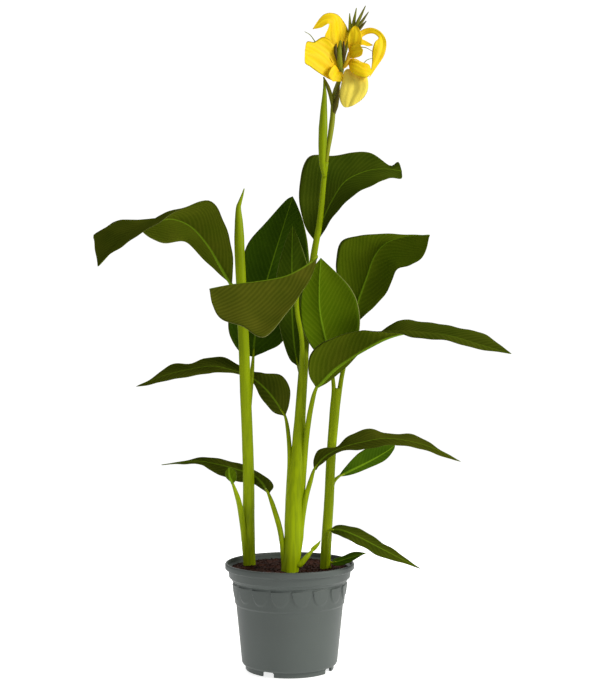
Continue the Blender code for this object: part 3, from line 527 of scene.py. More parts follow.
def add_blade(shape, form, stations, half, thickness, arch, pleat, ruffle, ridge=0.0, slot=0, tint=0.0,
              seed=0.0):
    """Adds a thin closed blade between a left and a right edge, with its rib from base to tip."""
    base, tip = seen(form["base"]), seen(form["tip"])
    rib, left, right = (
        smooth_line([base, *[seen(p) for p in form[side]], tip], stations)
        for side in ("rib", "left", "right"))
    grid, alongs = [], [0.0]
    for station in range(1, stations):
        alongs.append(alongs[-1] + (rib[station] - rib[station - 1]).length / MM)
        run = rib[station + 1] - rib[station - 1]
        up = run.cross(right[station] - left[station]).normalized()
        fade = math.sin(math.pi * station / stations) ** 0.5
        row = []
        for column in range(-half, half + 1):
            edge = left[station] if column < 0 else right[station]
            share = (abs(column) / half) ** 1.2
            width = (edge - rib[station]).length / MM
            phase = (alongs[-1] - vein_run(share * width)) / VEIN_SPACING
            lift = arch * width * math.sin(math.pi * share)
            lift += pleat * fade * math.sin(math.tau * phase) * math.sin(math.pi * share ** 0.7)
            wave = math.sin(alongs[-1] / 9.0 + seed + (2.1 if column < 0 else 0)) \
                + 0.6 * math.sin(alongs[-1] / 4.3 + 2 * seed)
            lift += ruffle * fade * share ** 3 * wave
            row.append((rib[station].lerp(edge, share) + up * (lift * MM), share, share * width))
        grid.append(row)
    top_is_up = guess_top(grid, half) != form.get("turned", False)
    notes = dict(tint=tint, length=alongs[-1])
    first = shape.point(base, along=0.0, across=0.0, edge=0.0, top=0.5, **notes)
    last = shape.point(tip, along=alongs[-1], across=0.0, edge=0.6, top=0.5, **notes)
    faces_up, faces_down = [], []
    for index, row in enumerate(grid):
        before, after = grid[max(index - 1, 0)], grid[min(index + 1, len(grid) - 1)]
        rib_share = (index + 1) / stations
        upper, lower = [], []
        for column, (place, share, across) in enumerate(row):
            near, far = row[max(column - 1, 0)][0], row[min(column + 1, 2 * half)][0]
            normal = (after[column][0] - before[column][0]).cross(far - near)
            normal = normal.normalized() * (1 if top_is_up else -1)
            noted = dict(notes, along=alongs[index + 1], across=across, edge=share)
            if column in (0, 2 * half):
                rim = shape.point(place, top=0.5, **noted)
                upper.append(rim)
                lower.append(rim)
                continue
            body = thickness / 2 * (1 - 0.5 * share ** 4)
            swell = ridge * (1 - 0.82 * rib_share)
            wide = 0.9 * swell + 0.35
            bulge = math.exp(-(across / wide) ** 2) if ridge else 0.0
            upper.append(shape.point(place + normal * ((body - 0.18 * swell * bulge) * MM), top=1.0, **noted))
            lower.append(shape.point(place - normal * ((body + swell * bulge) * MM), top=0.0, **noted))
        faces_up.append(upper)
        faces_down.append(lower)
    for rows, order in ((faces_up, -1 if top_is_up else 1), (faces_down, 1 if top_is_up else -1)):
        for column in range(2 * half):
            shape.face((first, rows[0][column + 1], rows[0][column])[::order], slot)
            shape.face((last, rows[-1][column], rows[-1][column + 1])[::order], slot)
            for low, high in zip(rows, rows[1:]):
                shape.face((low[column], low[column + 1], high[column + 1], high[column])[::order], slot)


def guess_top(grid, half):
    """Whether the blade's top side is the one that the run along it crossed with the run across it gives:
    the side that looks up, or, on an upright leaf, towards the pot's axis."""
    score = 0.0
    for low, high in zip(grid, grid[1:]):
        up = (high[half][0] - low[half][0]).cross(low[-1][0] - low[0][0])
        place = low[half][0]
        inward = Vector((-place.x, -place.y, 0)).normalized()
        score += up.z + 0.5 * up.dot(inward)
    return score > 0


class Wire:
    """A node's output. Python's operators on it add Math nodes."""

    def __init__(self, tree, socket):
        self.tree, self.socket = tree, socket

    def math(self, operation, *others):
        inputs = dict(enumerate((self, *others)))
        return self.tree.node("ShaderNodeMath", {"operation": operation}, inputs)

    def __add__(self, other):
        return self.math("ADD", other)

    def __sub__(self, other):
        return self.math("SUBTRACT", other)

    def __rsub__(self, other):
        return self.tree.node("ShaderNodeMath", {"operation": "SUBTRACT"}, {0: other, 1: self})

    def __mul__(self, other):
        return self.math("MULTIPLY", other)

    def __truediv__(self, other):
        return self.math("DIVIDE", other)

    def __pow__(self, other):
        return self.math("POWER", other)

    def rise(self, low, high):
        """0 below low, 1 above high, and smooth between."""
        return self.tree.node("ShaderNodeMapRange", {"interpolation_type": "SMOOTHSTEP"},
                              {"Value": self, "From Min": low, "From Max": high})

    def wave(self):
        """A sine of a count of turns, from 0 to 1."""
        return (self * math.tau).math("SINE") * 0.5 + 0.5

    __radd__ = __add__
    __rmul__ = __mul__


class Tree:
    """A node tree under construction, whose nodes all come from node()."""

    def __init__(self, tree):
        self.tree = tree

    def node(self, kind, settings=None, inputs=None, out=0):
        made = self.tree.nodes.new(kind)
        for name, value in (settings or {}).items():
            if name == "stops":
                ramp = made.color_ramp
                ramp.elements.remove(ramp.elements[-1])
                for index, (place, colour) in enumerate(value):
                    stop = ramp.elements[0] if index == 0 else ramp.elements.new(place)
                    stop.position = place
                    stop.color = colour
            else:
                setattr(made, name, value)
        for name, value in (inputs or {}).items():
            if isinstance(value, Wire):
                self.tree.links.new(value.socket, made.inputs[name])
            else:
                made.inputs[name].default_value = value
        return Wire(self, made.outputs[out])

    def note(self, name):
        """A number that each point of the mesh carries."""
        return self.node("ShaderNodeAttribute", {"attribute_name": name}, out="Fac")

    def spot(self):
        return self.node("ShaderNodeTexCoord", out="Object")

    def grain(self, scale, detail=2.0, where=None, stretch=None, out="Fac"):
        """Noise over the object, or along the given place; stretch makes it longer one way."""
        where = where or self.spot()
        if stretch:
            where = self.node("ShaderNodeMapping", None, {"Vector": where, "Scale": stretch})
        return self.node("ShaderNodeTexNoise", None, {"Vector": where, "Scale": scale, "Detail": detail}, out)

    def blend(self, share, low, high):
        """A colour between two."""
        return self.node("ShaderNodeMix", {"data_type": "RGBA", "clamp_factor": True},
                         {0: share, 6: low, 7: high}, 2)

    def place(self, x, y, z):
        return self.node("ShaderNodeCombineXYZ", None, {0: x, 1: y, 2: z})


class Finish(Tree):
    """A material: a Principled surface whose colour, roughness and bump come from nodes."""

    def __init__(self, name, **fixed):
        self.material = bpy.data.materials.new(name)
        self.material.use_nodes = True
        super().__init__(self.material.node_tree)
        self.surface = self.tree.nodes["Principled BSDF"]
        for socket, value in fixed.items():
            self.surface.inputs[socket.replace("_", " ").title().replace("Ior", "IOR")].default_value = value

    def done(self, colour, roughness=None, height=None, depth=0.0003, strength=0.5):
        """Links what varies over the surface, and gives the material."""
        for name, value in (("Base Color", colour), ("Roughness", roughness)):
            if isinstance(value, Wire):
                self.tree.links.new(value.socket, self.surface.inputs[name])
            elif value is not None:
                self.surface.inputs[name].default_value = value
        if height is not None:
            sizes = {"Height": height, "Distance": depth, "Strength": strength}
            bump = self.node("ShaderNodeBump", None, sizes)
            self.tree.links.new(bump.socket, self.surface.inputs["Normal"])
        return self.material


def leaf_finish():
    """A leaf: dark above, clearer green below and bronzed by its tint, with a pale midrib, swept side
    veins with finer ones between, and a thin pale edge. The clearer green below is partly the
    underside's own colour and partly painted light shining through the leaf; the pale edge is a
    painted highlight."""
    leaf = Finish("canna leaf", specular_ior_level=0.0)
    along, across, edge = leaf.note("along"), leaf.note("across"), leaf.note("edge")
    top, tint = leaf.note("top"), leaf.note("tint")
    run = across * VEIN_SWEEP + across * across * VEIN_BEND
    phase = (along - run) / VEIN_SPACING
    wander = leaf.grain(22.0, 3.0) * 1.5
    broad = (phase + wander).wave()
    fine = (phase * 4.0 + wander * 2.0).wave()
    cloud = leaf.grain(24.0, 4.0)
    above = leaf.blend(cloud, LEAF_TOP_DEEP, LEAF_TOP_CLEAR)
    # The bronze is lighter on the underside: partly its own colour, partly painted light shining through
    bronze = leaf.blend(cloud * 0.7 + broad * 0.35 - top * 0.15, BRONZE_DEEP, BRONZE_CLEAR)
    above = leaf.blend(broad ** 3.0 * 0.15, above, LEAF_VEIN)
    # The underside: its own paler green, with painted light shining through the leaf added to it
    below = leaf.blend(cloud, LEAF_UNDER_BACKLIT_DEEP, LEAF_UNDER_BACKLIT_CLEAR)
    below = leaf.blend(broad ** 4.0 * 0.22 + fine ** 6.0 * 0.08, below, LEAF_UNDER_VEIN)
    colour = leaf.blend(top, below, above)
    colour = leaf.blend(tint * (0.45 + cloud * 0.5 + top * 0.1), colour, bronze)
    length = leaf.note("length")
    rib_width = 2.3 - along / length * 1.9
    rib = 1.0 - across.rise(rib_width * 0.35, rib_width)
    colour = leaf.blend(rib * (0.85 - top * 0.3), colour, MIDRIB)
    # A painted highlight along the leaf's edge, where the margin catches the light
    rim = edge.rise(0.975, 0.995)
    colour = leaf.blend(rim * 0.75, colour, LEAF_EDGE_HIGHLIGHT)
    height = broad * 0.6 + fine * 0.18 + leaf.grain(900.0, 2.0) * 0.12
    return leaf.done(colour, 0.42 + cloud * 0.2 + (1.0 - top) * 0.1, height, 0.0005, 0.4)


def stem_finish():
    """A fleshy stem: yellow-green, clearer low down, with long streaks and darker patches."""
    stem = Finish("canna stem", specular_ior_level=0.08)
    streaks = stem.grain(40.0, 5.0, stretch=(9.0, 9.0, 0.35))
    cloud = stem.grain(11.0, 3.0)
    rise = stem.node("ShaderNodeSeparateXYZ", None, {0: stem.spot()}, "Z").rise(0.13, 0.42)
    colour = stem.blend(rise, STEM_LOW, STEM_HIGH)
    colour = stem.blend(streaks.rise(0.42, 0.66) * 0.5, colour, STEM_STREAK)
    colour = stem.blend(cloud.rise(0.5, 0.75) * 0.35, colour, STEM_SHADE)
    return stem.done(colour, 0.34 + streaks * 0.2, streaks, 0.0004, 0.35)


def bract_finish():
    """Bracts, ovaries and the flower's stalk: olive to brown-purple."""
    bract = Finish("canna bract", specular_ior_level=0.2)
    streaks = bract.grain(60.0, 4.0, stretch=(7.0, 7.0, 0.5))
    colour = bract.blend(bract.note("tint") + (streaks - 0.5) * 0.5, BRACT_GREEN, BRACT_BROWN)
    return bract.done(colour, 0.4 + streaks * 0.2, streaks, 0.0003, 0.3)


def petal_finish():
    """A petal: clear yellow, deeper in its folds and throat, with fine lengthwise veins."""
    petal = Finish("canna petal", specular_ior_level=0.12)
    along, across = petal.note("along"), petal.note("across")
    tint = petal.note("tint")
    veins = (across * 0.55 + petal.grain(50.0, 2.0) * 0.8).wave()
    cloud = petal.grain(45.0, 4.0)
    throat = 1.0 - (along / petal.note("length")).rise(0.05, 0.55)
    colour = petal.blend(tint, PETAL_YELLOW, PETAL_PALE)
    deep = (throat * 0.7 + cloud.rise(0.5, 0.8) * 0.45) * (1.0 - tint * 0.85)
    colour = petal.blend(deep, colour, PETAL_DEEP)
    colour = petal.blend(veins ** 3.0 * 0.2, colour, PETAL_DEEP)
    folds = (across * 0.13 + petal.grain(30.0, 2.0) * 1.2).wave()
    colour = petal.blend(folds ** 2.0 * (0.32 - tint * 0.26), colour, PETAL_DEEP)
    return petal.done(colour, 0.42 + cloud * 0.15, veins * 0.3 + cloud * 0.7 + folds, 0.0010, 0.4)


def pot_finish():
    """Moulded grey plastic with a faint grain, wear and dust."""
    pot = Finish("moulded grey plastic", specular_ior_level=0.3)
    cloud = pot.grain(9.0, 5.0)
    speck = pot.grain(420.0, 3.0)
    rings = pot.node("ShaderNodeSeparateXYZ", None, {0: pot.spot()}, "Z")
    turning = pot.grain(1.0, 3.0, where=pot.place(0.0, 0.0, rings * 900.0))
    colour = pot.blend(cloud, POT_DEEP, POT_CLEAR)
    colour = pot.blend(speck.rise(0.62, 0.8) * 0.3, colour, POT_DUST)
    return pot.done(colour, 0.40 + cloud * 0.12 + speck * 0.08, speck * 0.5 + turning * 0.3, 0.0002, 0.25)


def soil_finish(name="moist potting soil", lift=0.0):
    soil = Finish(name, specular_ior_level=0.08)
    patches = soil.grain(120.0, 6.0)
    fibre = soil.grain(700.0, 4.0)
    colour = soil.blend(patches.rise(0.3, 0.7), SOIL_DEEP, SOIL_CLEAR)
    colour = soil.blend(fibre.rise(0.55, 0.75) * (0.5 + lift), colour, SOIL_FIBRE)
    return soil.done(colour, 0.9, patches + fibre * 0.6, 0.002, 0.9)


def plain_finish(name, colour, roughness, **fixed):
    return Finish(name, **fixed).done(colour, roughness)


def inner_radius(z):
    """The pot's inner radius at a height, in mm."""
    slope = (BAND_RADIUS - 4 - WALL - (FOOT_RADIUS + 3.5 - WALL)) / (BAND_BOTTOM - FLOOR_TOP)
    return FOOT_RADIUS + 3.5 - WALL + slope * (z - FLOOR_TOP)


def rounded(profile, reach, steps=3):
    """The profile with each corner cut into a small arc that starts a reach away from it, in mm."""
    points = [Vector(profile[0])]
    for before, corner, after in zip(profile, profile[1:], profile[2:]):
        before, corner, after = Vector(before), Vector(corner), Vector(after)
        start = corner + (before - corner) * min(0.45, reach / max((before - corner).length, 1e-6))
        end = corner + (after - corner) * min(0.45, reach / max((after - corner).length, 1e-6))
        for step in range(steps + 1):
            t = step / steps
            points.append(start * (1 - t) ** 2 + corner * (2 * t * (1 - t)) + end * t ** 2)
    points.append(Vector(profile[-1]))
    return points


def turned(name, profile, sides):
    """A solid turned round the pot's axis, from a profile of (radius, z) in mm that starts and ends on it."""
    bm = bmesh.new()
    points = [bm.verts.new((r * MM, 0, z * MM)) for r, z in profile]
    for a, b in zip(points, points[1:]):
        bm.edges.new((a, b))
    mesh = bpy.data.meshes.new(name)
    bm.to_mesh(mesh)
    bm.free()
    made = bpy.data.objects.new(f"{name}_surface", mesh)
    bpy.context.scene.collection.objects.link(made)
    screw = made.modifiers.new("turn", "SCREW")
    screw.steps = screw.render_steps = sides
    screw.use_merge_vertices = True
    screw.merge_threshold = 0.00005
    screw.use_smooth_shade = True
    made = baked(made)
    bm = bmesh.new()
    bm.from_mesh(made.data)
    bmesh.ops.remove_doubles(bm, verts=bm.verts, dist=0.00001)
    bmesh.ops.recalc_face_normals(bm, faces=bm.faces)
    bm.to_mesh(made.data)
    bm.free()
    return made


def scallop_relief():
    """Geometry Nodes that push the pot's outer wall out in a ring of hanging scallops: each is a tongue
    that starts at the band's top and is rounded at its lower end."""
    group = bpy.data.node_groups.new("Scallop relief", "GeometryNodeTree")
    face = group.interface
    face.new_socket("Geometry", in_out="INPUT", socket_type="NodeSocketGeometry")
    for name in ("Count", "Relief", "Top", "Bottom", "Wall", "Turn"):
        face.new_socket(name, in_out="INPUT", socket_type="NodeSocketFloat")
    face.new_socket("Geometry", in_out="OUTPUT", socket_type="NodeSocketGeometry")
    tree = Tree(group)
    given = group.nodes.new("NodeGroupInput")
    count, relief, top, bottom, wall, start = (Wire(tree, given.outputs[index]) for index in range(1, 7))
    place = tree.node("GeometryNodeInputPosition")
    x, y, z = (tree.node("ShaderNodeSeparateXYZ", None, {0: place}, axis) for axis in "XYZ")
    radius = (x * x + y * y) ** 0.5
    turn = y.math("ARCTAN2", x) / math.tau * count + start
    across = (turn - turn.math("FLOOR") - 0.5) * 2.0
    drop = (z - bottom) / (top - bottom)
    hang = (1.0 - (across * (1 / 0.90)).math("ABSOLUTE") ** 2.6).math("MAXIMUM", 0.0) ** 0.5
    inside = (drop - (1.0 - hang)) * 6.0
    tongue = inside.rise(0.0, 1.0) * (1.0 - drop.rise(0.94, 1.0))
    outer = radius.rise(wall, wall + 0.0006)
    push = relief * tongue * outer * (0.55 - across * 0.45) / radius
    offset = tree.place(x * push, y * push, 0.0)
    wall_in = Wire(tree, given.outputs[0])
    moved = tree.node("GeometryNodeSetPosition", None, {"Geometry": wall_in, "Offset": offset})
    end = group.nodes.new("NodeGroupOutput")
    group.links.new(moved.socket, end.inputs[0])
    return group


def set_input(modifier, name, value):
    """Gives a Geometry Nodes input its value, by its identifier."""
    for item in modifier.node_group.interface.items_tree:
        if item.item_type == "SOCKET" and item.in_out == "INPUT" and item.name == name:
            modifier[item.identifier] = value


def box(size, place, turn):
    bm = bmesh.new()
    bmesh.ops.create_cube(bm, size=1)
    bmesh.ops.scale(bm, vec=Vector(size) * MM, verts=bm.verts)
    bmesh.ops.transform(bm, matrix=Matrix.Rotation(turn, 4, "Z") @ Matrix.Translation(Vector(place) * MM),
                        verts=bm.verts)
    return bm


def pot(finish):
    """The moulded pot, with its scalloped band, notched foot ring and drain holes."""
    lip = RIM_RADIUS - WALL - 1.4
    outer = [
        (lip, POT_HEIGHT - 1.2), (lip + 0.9, POT_HEIGHT), (RIM_RADIUS - 1.2, POT_HEIGHT),
        (RIM_RADIUS, POT_HEIGHT - 1.6), (RIM_RADIUS, RIM_BOTTOM), (RIM_RADIUS - 4.2, COLLAR_TOP),
        (RIM_RADIUS - 5.2, COLLAR_BOTTOM), (RIM_RADIUS - 8.2, COLLAR_BOTTOM - 2.2),
        (RIM_RADIUS - 8.8, BAND_TOP + 1.4), (BAND_RADIUS - 0.4, BAND_TOP)]
    row_height = (BAND_TOP - BAND_BOTTOM - 2.0) / BAND_ROWS
    band = [(BAND_RADIUS - BAND_TAPER * (BAND_TOP - z) / (BAND_TOP - BAND_BOTTOM), z)
            for z in (BAND_TOP - 1 - row_height * row for row in range(BAND_ROWS))]
    lower = [
        (BAND_RADIUS - BAND_TAPER, BAND_BOTTOM + 0.8), (BAND_RADIUS - 4.0, BAND_BOTTOM - 1.2),
        (FOOT_RADIUS + 4.8, FOOT_HEIGHT + 2.8), (FOOT_RADIUS + 3.5, FOOT_HEIGHT + 0.6),
        (FOOT_RADIUS, FOOT_HEIGHT), (FOOT_RADIUS, 0.0), (FOOT_RADIUS - FOOT_WIDTH, 0.0),
        (FOOT_RADIUS - FOOT_WIDTH, FOOT_HEIGHT), (0.0, FOOT_HEIGHT)]
    inner = [
        (0.0, FLOOR_TOP), (inner_radius(FLOOR_TOP), FLOOR_TOP), (inner_radius(BAND_BOTTOM), BAND_BOTTOM),
        (BAND_RADIUS - WALL - 0.6, BAND_TOP), (RIM_RADIUS - 9.0 - WALL, COLLAR_BOTTOM - 2.0),
        (RIM_RADIUS - 5.8 - WALL, COLLAR_BOTTOM + 1.0), (RIM_RADIUS - 4.6 - WALL, COLLAR_TOP + 1.4),
        (lip, RIM_BOTTOM + 1.8), (lip, POT_HEIGHT - 1.2)]
    profile = [*rounded([*outer, band[0]], CORNER)[:-1], *(Vector(p) for p in band),
               *rounded([band[-1], *lower], CORNER)[1:], *rounded(inner, CORNER)]
    body = turned("pot", profile, POT_SIDES)
    scallops = body.modifiers.new("scallops", "NODES")
    scallops.node_group = scallop_relief()
    sizes = {
        "Count": float(SCALLOPS), "Relief": SCALLOP_RELIEF * MM, "Top": (BAND_TOP - 1.4) * MM,
        "Bottom": (BAND_BOTTOM + 5.5) * MM, "Turn": SCALLOP_TURN, "Wall": (BAND_RADIUS - 3.2) * MM}
    for name, value in sizes.items():
        set_input(scallops, name, value)
    body = baked(body)
    cutters = bmesh.new()
    for foot in range(FEET):
        turn = NOTCH_TURN + math.tau * foot / FEET
        notch = box((12.0, NOTCH_WIDTH, 2 * FOOT_HEIGHT - 1.0), (FOOT_RADIUS, 0, 0), turn)
        bmesh.ops.bevel(notch, geom=notch.edges[:], offset=1.2 * MM, segments=2, affect="EDGES")
        drain_turn = turn + math.pi / FEET
        place = Vector((math.cos(drain_turn), math.sin(drain_turn), 0)) * (DRAIN_CIRCLE * MM)
        place.z = FLOOR_TOP * MM
        bmesh.ops.create_cone(notch, cap_ends=True, segments=32, radius1=DRAIN_RADIUS * MM,
                              radius2=DRAIN_RADIUS * MM, depth=3 * FLOOR_TOP * MM,
                              matrix=Matrix.Translation(place))
        part = bpy.data.meshes.new("notch")
        notch.to_mesh(part)
        notch.free()
        cutters.from_mesh(part)
    mesh = bpy.data.meshes.new("notches")
    cutters.to_mesh(mesh)
    cutters.free()
    tool = bpy.data.objects.new("notches", mesh)
    bpy.context.scene.collection.objects.link(tool)
    cut = body.modifiers.new("notches", "BOOLEAN")
    cut.operation, cut.solver, cut.object = "DIFFERENCE", "EXACT", tool
    body = baked(body)
    bpy.data.objects.remove(tool)
    body.data.materials.clear()
    body.data.materials.append(finish)
    body.data.shade_smooth()
    body.data.set_sharp_from_angle(angle=math.radians(38))
    show(body, "pot_grey", "pot")


def soil_height(x, y):
    """How far the soil's top stands above its mean level at a place in mm, in mm."""
    spot = Vector((x, y, 0)) * 0.045
    lumps = noise.noise(spot) + 0.6 * noise.noise(spot * 2.3) + 0.35 * noise.noise(spot * 5.1)
    return SOIL_LUMP * 1.1 * lumps


def crumbs_on_top(crumb, finish):
    """Geometry Nodes that strew crumbs of peat over what looks up, each with its own size and turn."""
    group = bpy.data.node_groups.new("Strewn crumbs", "GeometryNodeTree")
    face = group.interface
    face.new_socket("Geometry", in_out="INPUT", socket_type="NodeSocketGeometry")
    for name in ("Density", "Smallest", "Largest"):
        face.new_socket(name, in_out="INPUT", socket_type="NodeSocketFloat")
    face.new_socket("Seed", in_out="INPUT", socket_type="NodeSocketInt")
    face.new_socket("Geometry", in_out="OUTPUT", socket_type="NodeSocketGeometry")
    tree = Tree(group)
    given = group.nodes.new("NodeGroupInput")
    ground, density, smallest, largest, seed = (Wire(tree, given.outputs[index]) for index in range(5))
    looks_up = tree.node("ShaderNodeSeparateXYZ", None, {0: tree.node("GeometryNodeInputNormal")}, "Z")
    spot = tree.node("GeometryNodeInputPosition")
    x, y = (tree.node("ShaderNodeSeparateXYZ", None, {0: spot}, axis) for axis in "XY")
    within = (x * x + y * y).math("LESS_THAN", ((RIM_RADIUS - WALL - 4.5) * MM) ** 2)
    chosen = looks_up.math("GREATER_THAN", 0.5) * within
    points = tree.node("GeometryNodeDistributePointsOnFaces", None,
                       {"Mesh": ground, "Selection": chosen, "Density": density, "Seed": seed})
    size = tree.node("FunctionNodeRandomValue", {"data_type": "FLOAT"},
                     {2: smallest, 3: largest, "Seed": seed}, 1)
    turn = tree.node("FunctionNodeRandomValue", {"data_type": "FLOAT_VECTOR"},
                     {0: (0, 0, 0), 1: (math.tau, math.tau, math.tau), "Seed": seed})
    pattern = tree.node("GeometryNodeObjectInfo", None, {"Object": crumb}, "Geometry")
    strewn = tree.node("GeometryNodeInstanceOnPoints", None,
                       {"Points": points, "Instance": pattern, "Rotation": turn, "Scale": size})
    real = tree.node("GeometryNodeRealizeInstances", None, {"Geometry": strewn})
    coloured = tree.node("GeometryNodeSetMaterial", None, {"Geometry": real, "Material": finish})
    joined = tree.node("GeometryNodeJoinGeometry", None, {"Geometry": ground})
    group.links.new(coloured.socket, joined.socket.node.inputs[0])
    end = group.nodes.new("NodeGroupOutput")
    group.links.new(joined.socket, end.inputs[0])
    return group


def crumb_pattern():
    """One rough crumb, 1 m across, for the strewing to scale."""
    bm = bmesh.new()
    bmesh.ops.create_icosphere(bm, subdivisions=1, radius=0.5)
    for corner in bm.verts:
        corner.co *= 1 + 0.35 * noise.noise(corner.co * 3.7)
        corner.co.z *= 0.7
    mesh = bpy.data.meshes.new("crumb")
    bm.to_mesh(mesh)
    bm.free()
    return bpy.data.objects.new("crumb", mesh)


def soil(finish, crumb_finish):
    """The soil, lumpy on top and strewn with crumbs."""
    widest = RIM_RADIUS - WALL - 5.0
    floor = FLOOR_TOP + 0.6
    profile = [(widest * ring / SOIL_RINGS, SOIL_TOP) for ring in range(SOIL_RINGS + 1)]
    profile += [
        (RIM_RADIUS - 6.3 - WALL, COLLAR_BOTTOM + 1.6), (RIM_RADIUS - 9.5 - WALL, COLLAR_BOTTOM - 1.4),
        (BAND_RADIUS - WALL - 1.6, BAND_TOP), (inner_radius(BAND_BOTTOM) - 0.6, BAND_BOTTOM - 1),
        (inner_radius(floor) - 0.6, floor), (0.0, floor)]
    body = turned("soil", profile, SOIL_SIDES)
    for corner in body.data.vertices:
        x, y, z = corner.co / MM
        if z > SOIL_TOP - 1:
            fade = 1 - (math.hypot(x, y) / widest) ** 6
            corner.co.z += soil_height(x, y) * fade * MM
    body.data.materials.clear()
    body.data.materials.append(finish)
    crumb = crumb_pattern()
    strewing = body.modifiers.new("crumbs", "NODES")
    strewing.node_group = crumbs_on_top(crumb, crumb_finish)
    for name, value in (("Density", float(CRUMBS_PER_M2)), ("Smallest", CRUMB_SIZE * 0.35 * MM),
                        ("Largest", CRUMB_SIZE * 1.5 * MM), ("Seed", 7)):
        set_input(strewing, name, value)
    body = baked(body)
    bpy.data.objects.remove(crumb)
    show(body, "soil_brown", "soil")


def stem_line(name, count):
    """The middle of a stem, with the radius at each of its points in mm."""
    points, radii = STEMS[name]
    line = smooth_line([seen(p) for p in points], count)
    return line, [read_between(radii, index / count) for index in range(count + 1)]


def nearest_stem(place):
    """The stem nearest to a place: its line, its radii and the index of its nearest point."""
    best = None
    for name in STEMS:
        line, radii = stem_line(name, 120)
        index = min(range(len(line)), key=lambda i: (line[i] - place).length)
        distance = (line[index] - place).length
        if best is None or distance < best[0]:
            best = (distance, line, radii, index)
    return best[1:]


def sheath_path(stalk, thick):
    """The stalk's middle with its sheath: below the first point it runs down inside its stem."""
    line, radii, index = nearest_stem(stalk[0])
    out = stalk[1] - line[index]
    out = Vector((out.x, out.y, 0)).normalized()
    step_length = (line[1] - line[0]).length / MM
    path = []
    for drop, sink in SHEATH_STEPS:
        below = max(0, index - round(drop * SHEATH_DROP / step_length))
        path.append(line[below] + out * ((radii[below] - thick * sink) * MM))
    return path + stalk[1:]


def stem(name, finish, sides=32):
    """A stem with the overlapping edges of the sheaths that it is made of."""
    points, radii = STEMS[name]
    shape = Shape()
    middle = smooth_line([seen(p) for p in points], 90)
    swell = len(name)

    def radius(share):
        joint = (share * 5 + 0.37 * swell) % 1
        return read_between(radii, share) * (1 + 0.025 * max(0.0, 1 - joint * 6))

    add_tube(shape, middle, radius, sides, seam=0.06, across=Vector((math.cos(swell), -2.0, 0)))
    return shape.made(name, [finish])


def leaf(name, form, finish, stalk_finish):
    """A leaf with its midrib, its stalk and the sheath by which it leaves the stem."""
    shape = Shape()
    thick = form["stalk_radius"]
    large = len(form["left"]) + len(form["right"]) > 7
    stations, columns = (LEAF_STATIONS, LEAF_COLUMNS) if large else (LEAF_STATIONS // 2, LEAF_COLUMNS // 2)
    add_blade(shape, form, stations, columns, LEAF_THICKNESS, LEAF_ARCH, PLEAT, LEAF_RUFFLE if large else 0.3,
              ridge=thick * RIDGE, tint=form.get("bronze", 0.15), seed=len(name) * 1.7)
    base = seen(form["base"])
    rib = [base, *[seen(p) for p in form["rib"]]]
    stalk = [seen(p) for p in form["stalk"]]
    path = [*sheath_path(stalk, thick), base, base.lerp(rib[1], 0.45)]
    count = 60
    middle = smooth_line(path, count)
    radii = [thick * swell for swell in
             (*SHEATH_SWELL, *[STALK_SWELL] * (len(stalk) - 1), BASE_SWELL, RIB_SWELL)]
    add_tube(shape, middle, lambda share: read_between(radii, share), 20, slot=1, flat=0.9, tint=0.0)
    made = shape.made(name, [stalk_finish if form.get("sheath") else finish, stalk_finish])
    show(made, "leaf_green", name)


def bud_like(shape, points, radii, sides=16, count=18, tint=0.5, seam=0.0, slot=0):
    middle = smooth_line([seen(p) for p in points], count)
    add_tube(shape, middle, lambda share: read_between(radii, share), sides, slot=slot, tint=tint, seam=seam)


def flower_head(bract, stem_green, petal):
    shape = Shape()
    bud_like(shape, *FLOWER_AXIS, sides=20, count=60, tint=0.05)
    for form, tint in zip((*BRACTS, *DARK_BRACTS), (0.45, 0.8, 0.1, 1.0, 1.0)):
        bud_like(shape, *form, tint=tint, seam=0.12)
    show(shape.made("flower_axis", [bract]), "bud_green", "flower_axis")

    shape = Shape()
    bud_like(shape, *SPATHE, sides=24, count=40, seam=0.14)
    show(shape.made("spathe", [stem_green]), "stem_green", "spathe")

    shape = Shape()
    for index, (start, end) in enumerate(BUDS):
        middle = [tuple(a + (b - a) * share for a, b in zip(start, end)) for share in (0, 0.35, 0.7, 1)]
        bud_like(shape, middle, BUD_RADII, tint=0.15 + 0.13 * index, seam=0.15)
    show(shape.made("buds", [bract]), "bud_green", "buds")

    for name, form in BLOOMS.items():
        shape = Shape()
        bud_like(shape, *form["stalk"], tint=0.4, slot=0 if name == "bloom_right" else 1)
        for index, petal_form in enumerate(form["petals"]):
            small = len(petal_form["rib"]) < 5
            add_blade(shape, petal_form, PETAL_STATIONS if small else 2 * PETAL_STATIONS, PETAL_COLUMNS,
                      PETAL_THICKNESS, PETAL_ARCH, 0.0, PETAL_RUFFLE, tint=petal_form.get("pale", 0.0),
                      seed=index * 2.3)
        for points in FILAMENTS[name]:
            bud_like(shape, points, FILAMENT_RADII, sides=10, tint=0.2, slot=1)
        show(shape.made(name, [petal, bract]), "petal_yellow", name)


def light(name, place, target, size, power, colour=(1, 1, 1)):
    lamp = bpy.data.lights.new(name, "AREA")
    lamp.shape = "RECTANGLE"
    lamp.size, lamp.size_y = size
    lamp.energy = power
    lamp.color = colour
    obj = bpy.data.objects.new(name, lamp)
    obj.location = place
    obj.rotation_euler = (Vector(target) - Vector(place)).to_track_quat("-Z", "Y").to_euler()
    bpy.context.scene.collection.objects.link(obj)


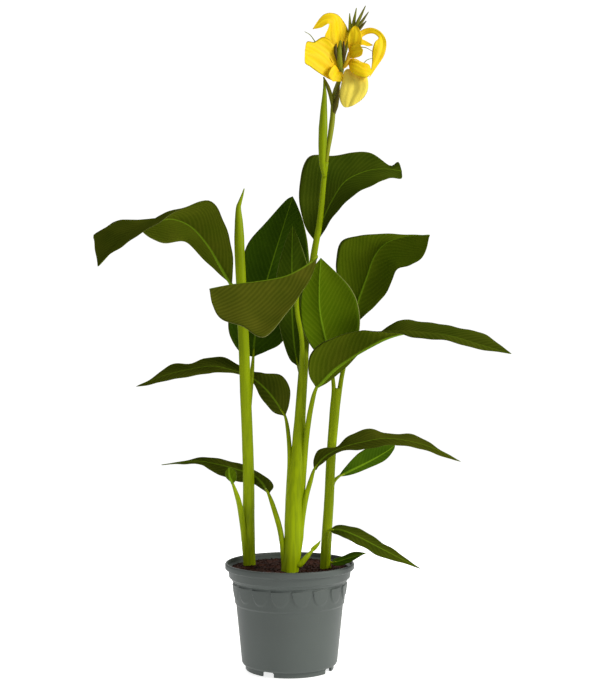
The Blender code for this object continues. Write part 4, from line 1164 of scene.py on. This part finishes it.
def studio():
    """A pale floor under soft light, seen by a level camera at the height of the plant's middle."""
    bm = bmesh.new()
    bmesh.ops.create_circle(bm, cap_ends=True, segments=96, radius=FLOOR_RADIUS)
    bmesh.ops.translate(bm, verts=bm.verts, vec=(0, 0, -0.0005))
    mesh = bpy.data.meshes.new("floor")
    bm.to_mesh(mesh)
    bm.free()
    mesh.materials.append(plain_finish("white paper", (0.8, 0.8, 0.8, 1), 0.9, specular_ior_level=0.0,
                                       emission_color=(1, 1, 1, 1), emission_strength=FLOOR_GLOW))
    floor = bpy.data.objects.new("floor", mesh)
    bpy.context.scene.collection.objects.link(floor)
    world = bpy.data.worlds.new("studio")
    world.use_nodes = True
    sky = Tree(world.node_tree)
    shown = sky.node("ShaderNodeLightPath", out="Is Camera Ray")
    back = world.node_tree.nodes["Background"]
    back.inputs["Color"].default_value = (1, 1, 1, 1)
    world.node_tree.links.new((shown * (BACKDROP - AMBIENT) + AMBIENT).socket, back.inputs["Strength"])
    bpy.context.scene.world = world
    light("key", KEY_PLACE, (0, 0, 0.4), (1.3, 1.3), KEY_POWER, KEY_COLOUR)
    light("back", BACK_PLACE, (0, 0, 0.5), (2.0, 1.2), BACK_POWER)
    lens = bpy.data.cameras.new("camera")
    lens.sensor_fit = "HORIZONTAL"
    lens.sensor_width = 36
    lens.lens = LENS
    camera = bpy.data.objects.new("camera", lens)
    camera.location = (EYE_SIDE * MM, -EYE_DISTANCE * MM, EYE_HEIGHT * MM)
    camera.rotation_euler = (math.pi / 2, 0, 0)
    bpy.context.scene.collection.objects.link(camera)
    bpy.context.scene.camera = camera
    bpy.context.scene.view_settings.view_transform = "Standard"


def main():
    leaf_green, stem_green, bract, petal = leaf_finish(), stem_finish(), bract_finish(), petal_finish()
    pot(pot_finish())
    soil(soil_finish(), soil_finish("peat crumbs", 0.2))
    for name in STEMS:
        show(stem(name, stem_green), "stem_green", name)
    shape = Shape()
    bud_like(shape, *ROLLED_LEAF, sides=32, count=70, seam=0.16)
    show(shape.made("rolled_leaf", [stem_green]), "stem_green", "rolled_leaf")
    for name, form in LEAVES.items():
        leaf(name, form, leaf_green, stem_green)
    flower_head(bract, stem_green, petal)
    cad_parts["rhizome"].data.materials.clear()
    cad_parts["rhizome"].data.materials.append(plain_finish("rhizome skin", RHIZOME, 0.8))
    studio()


main()
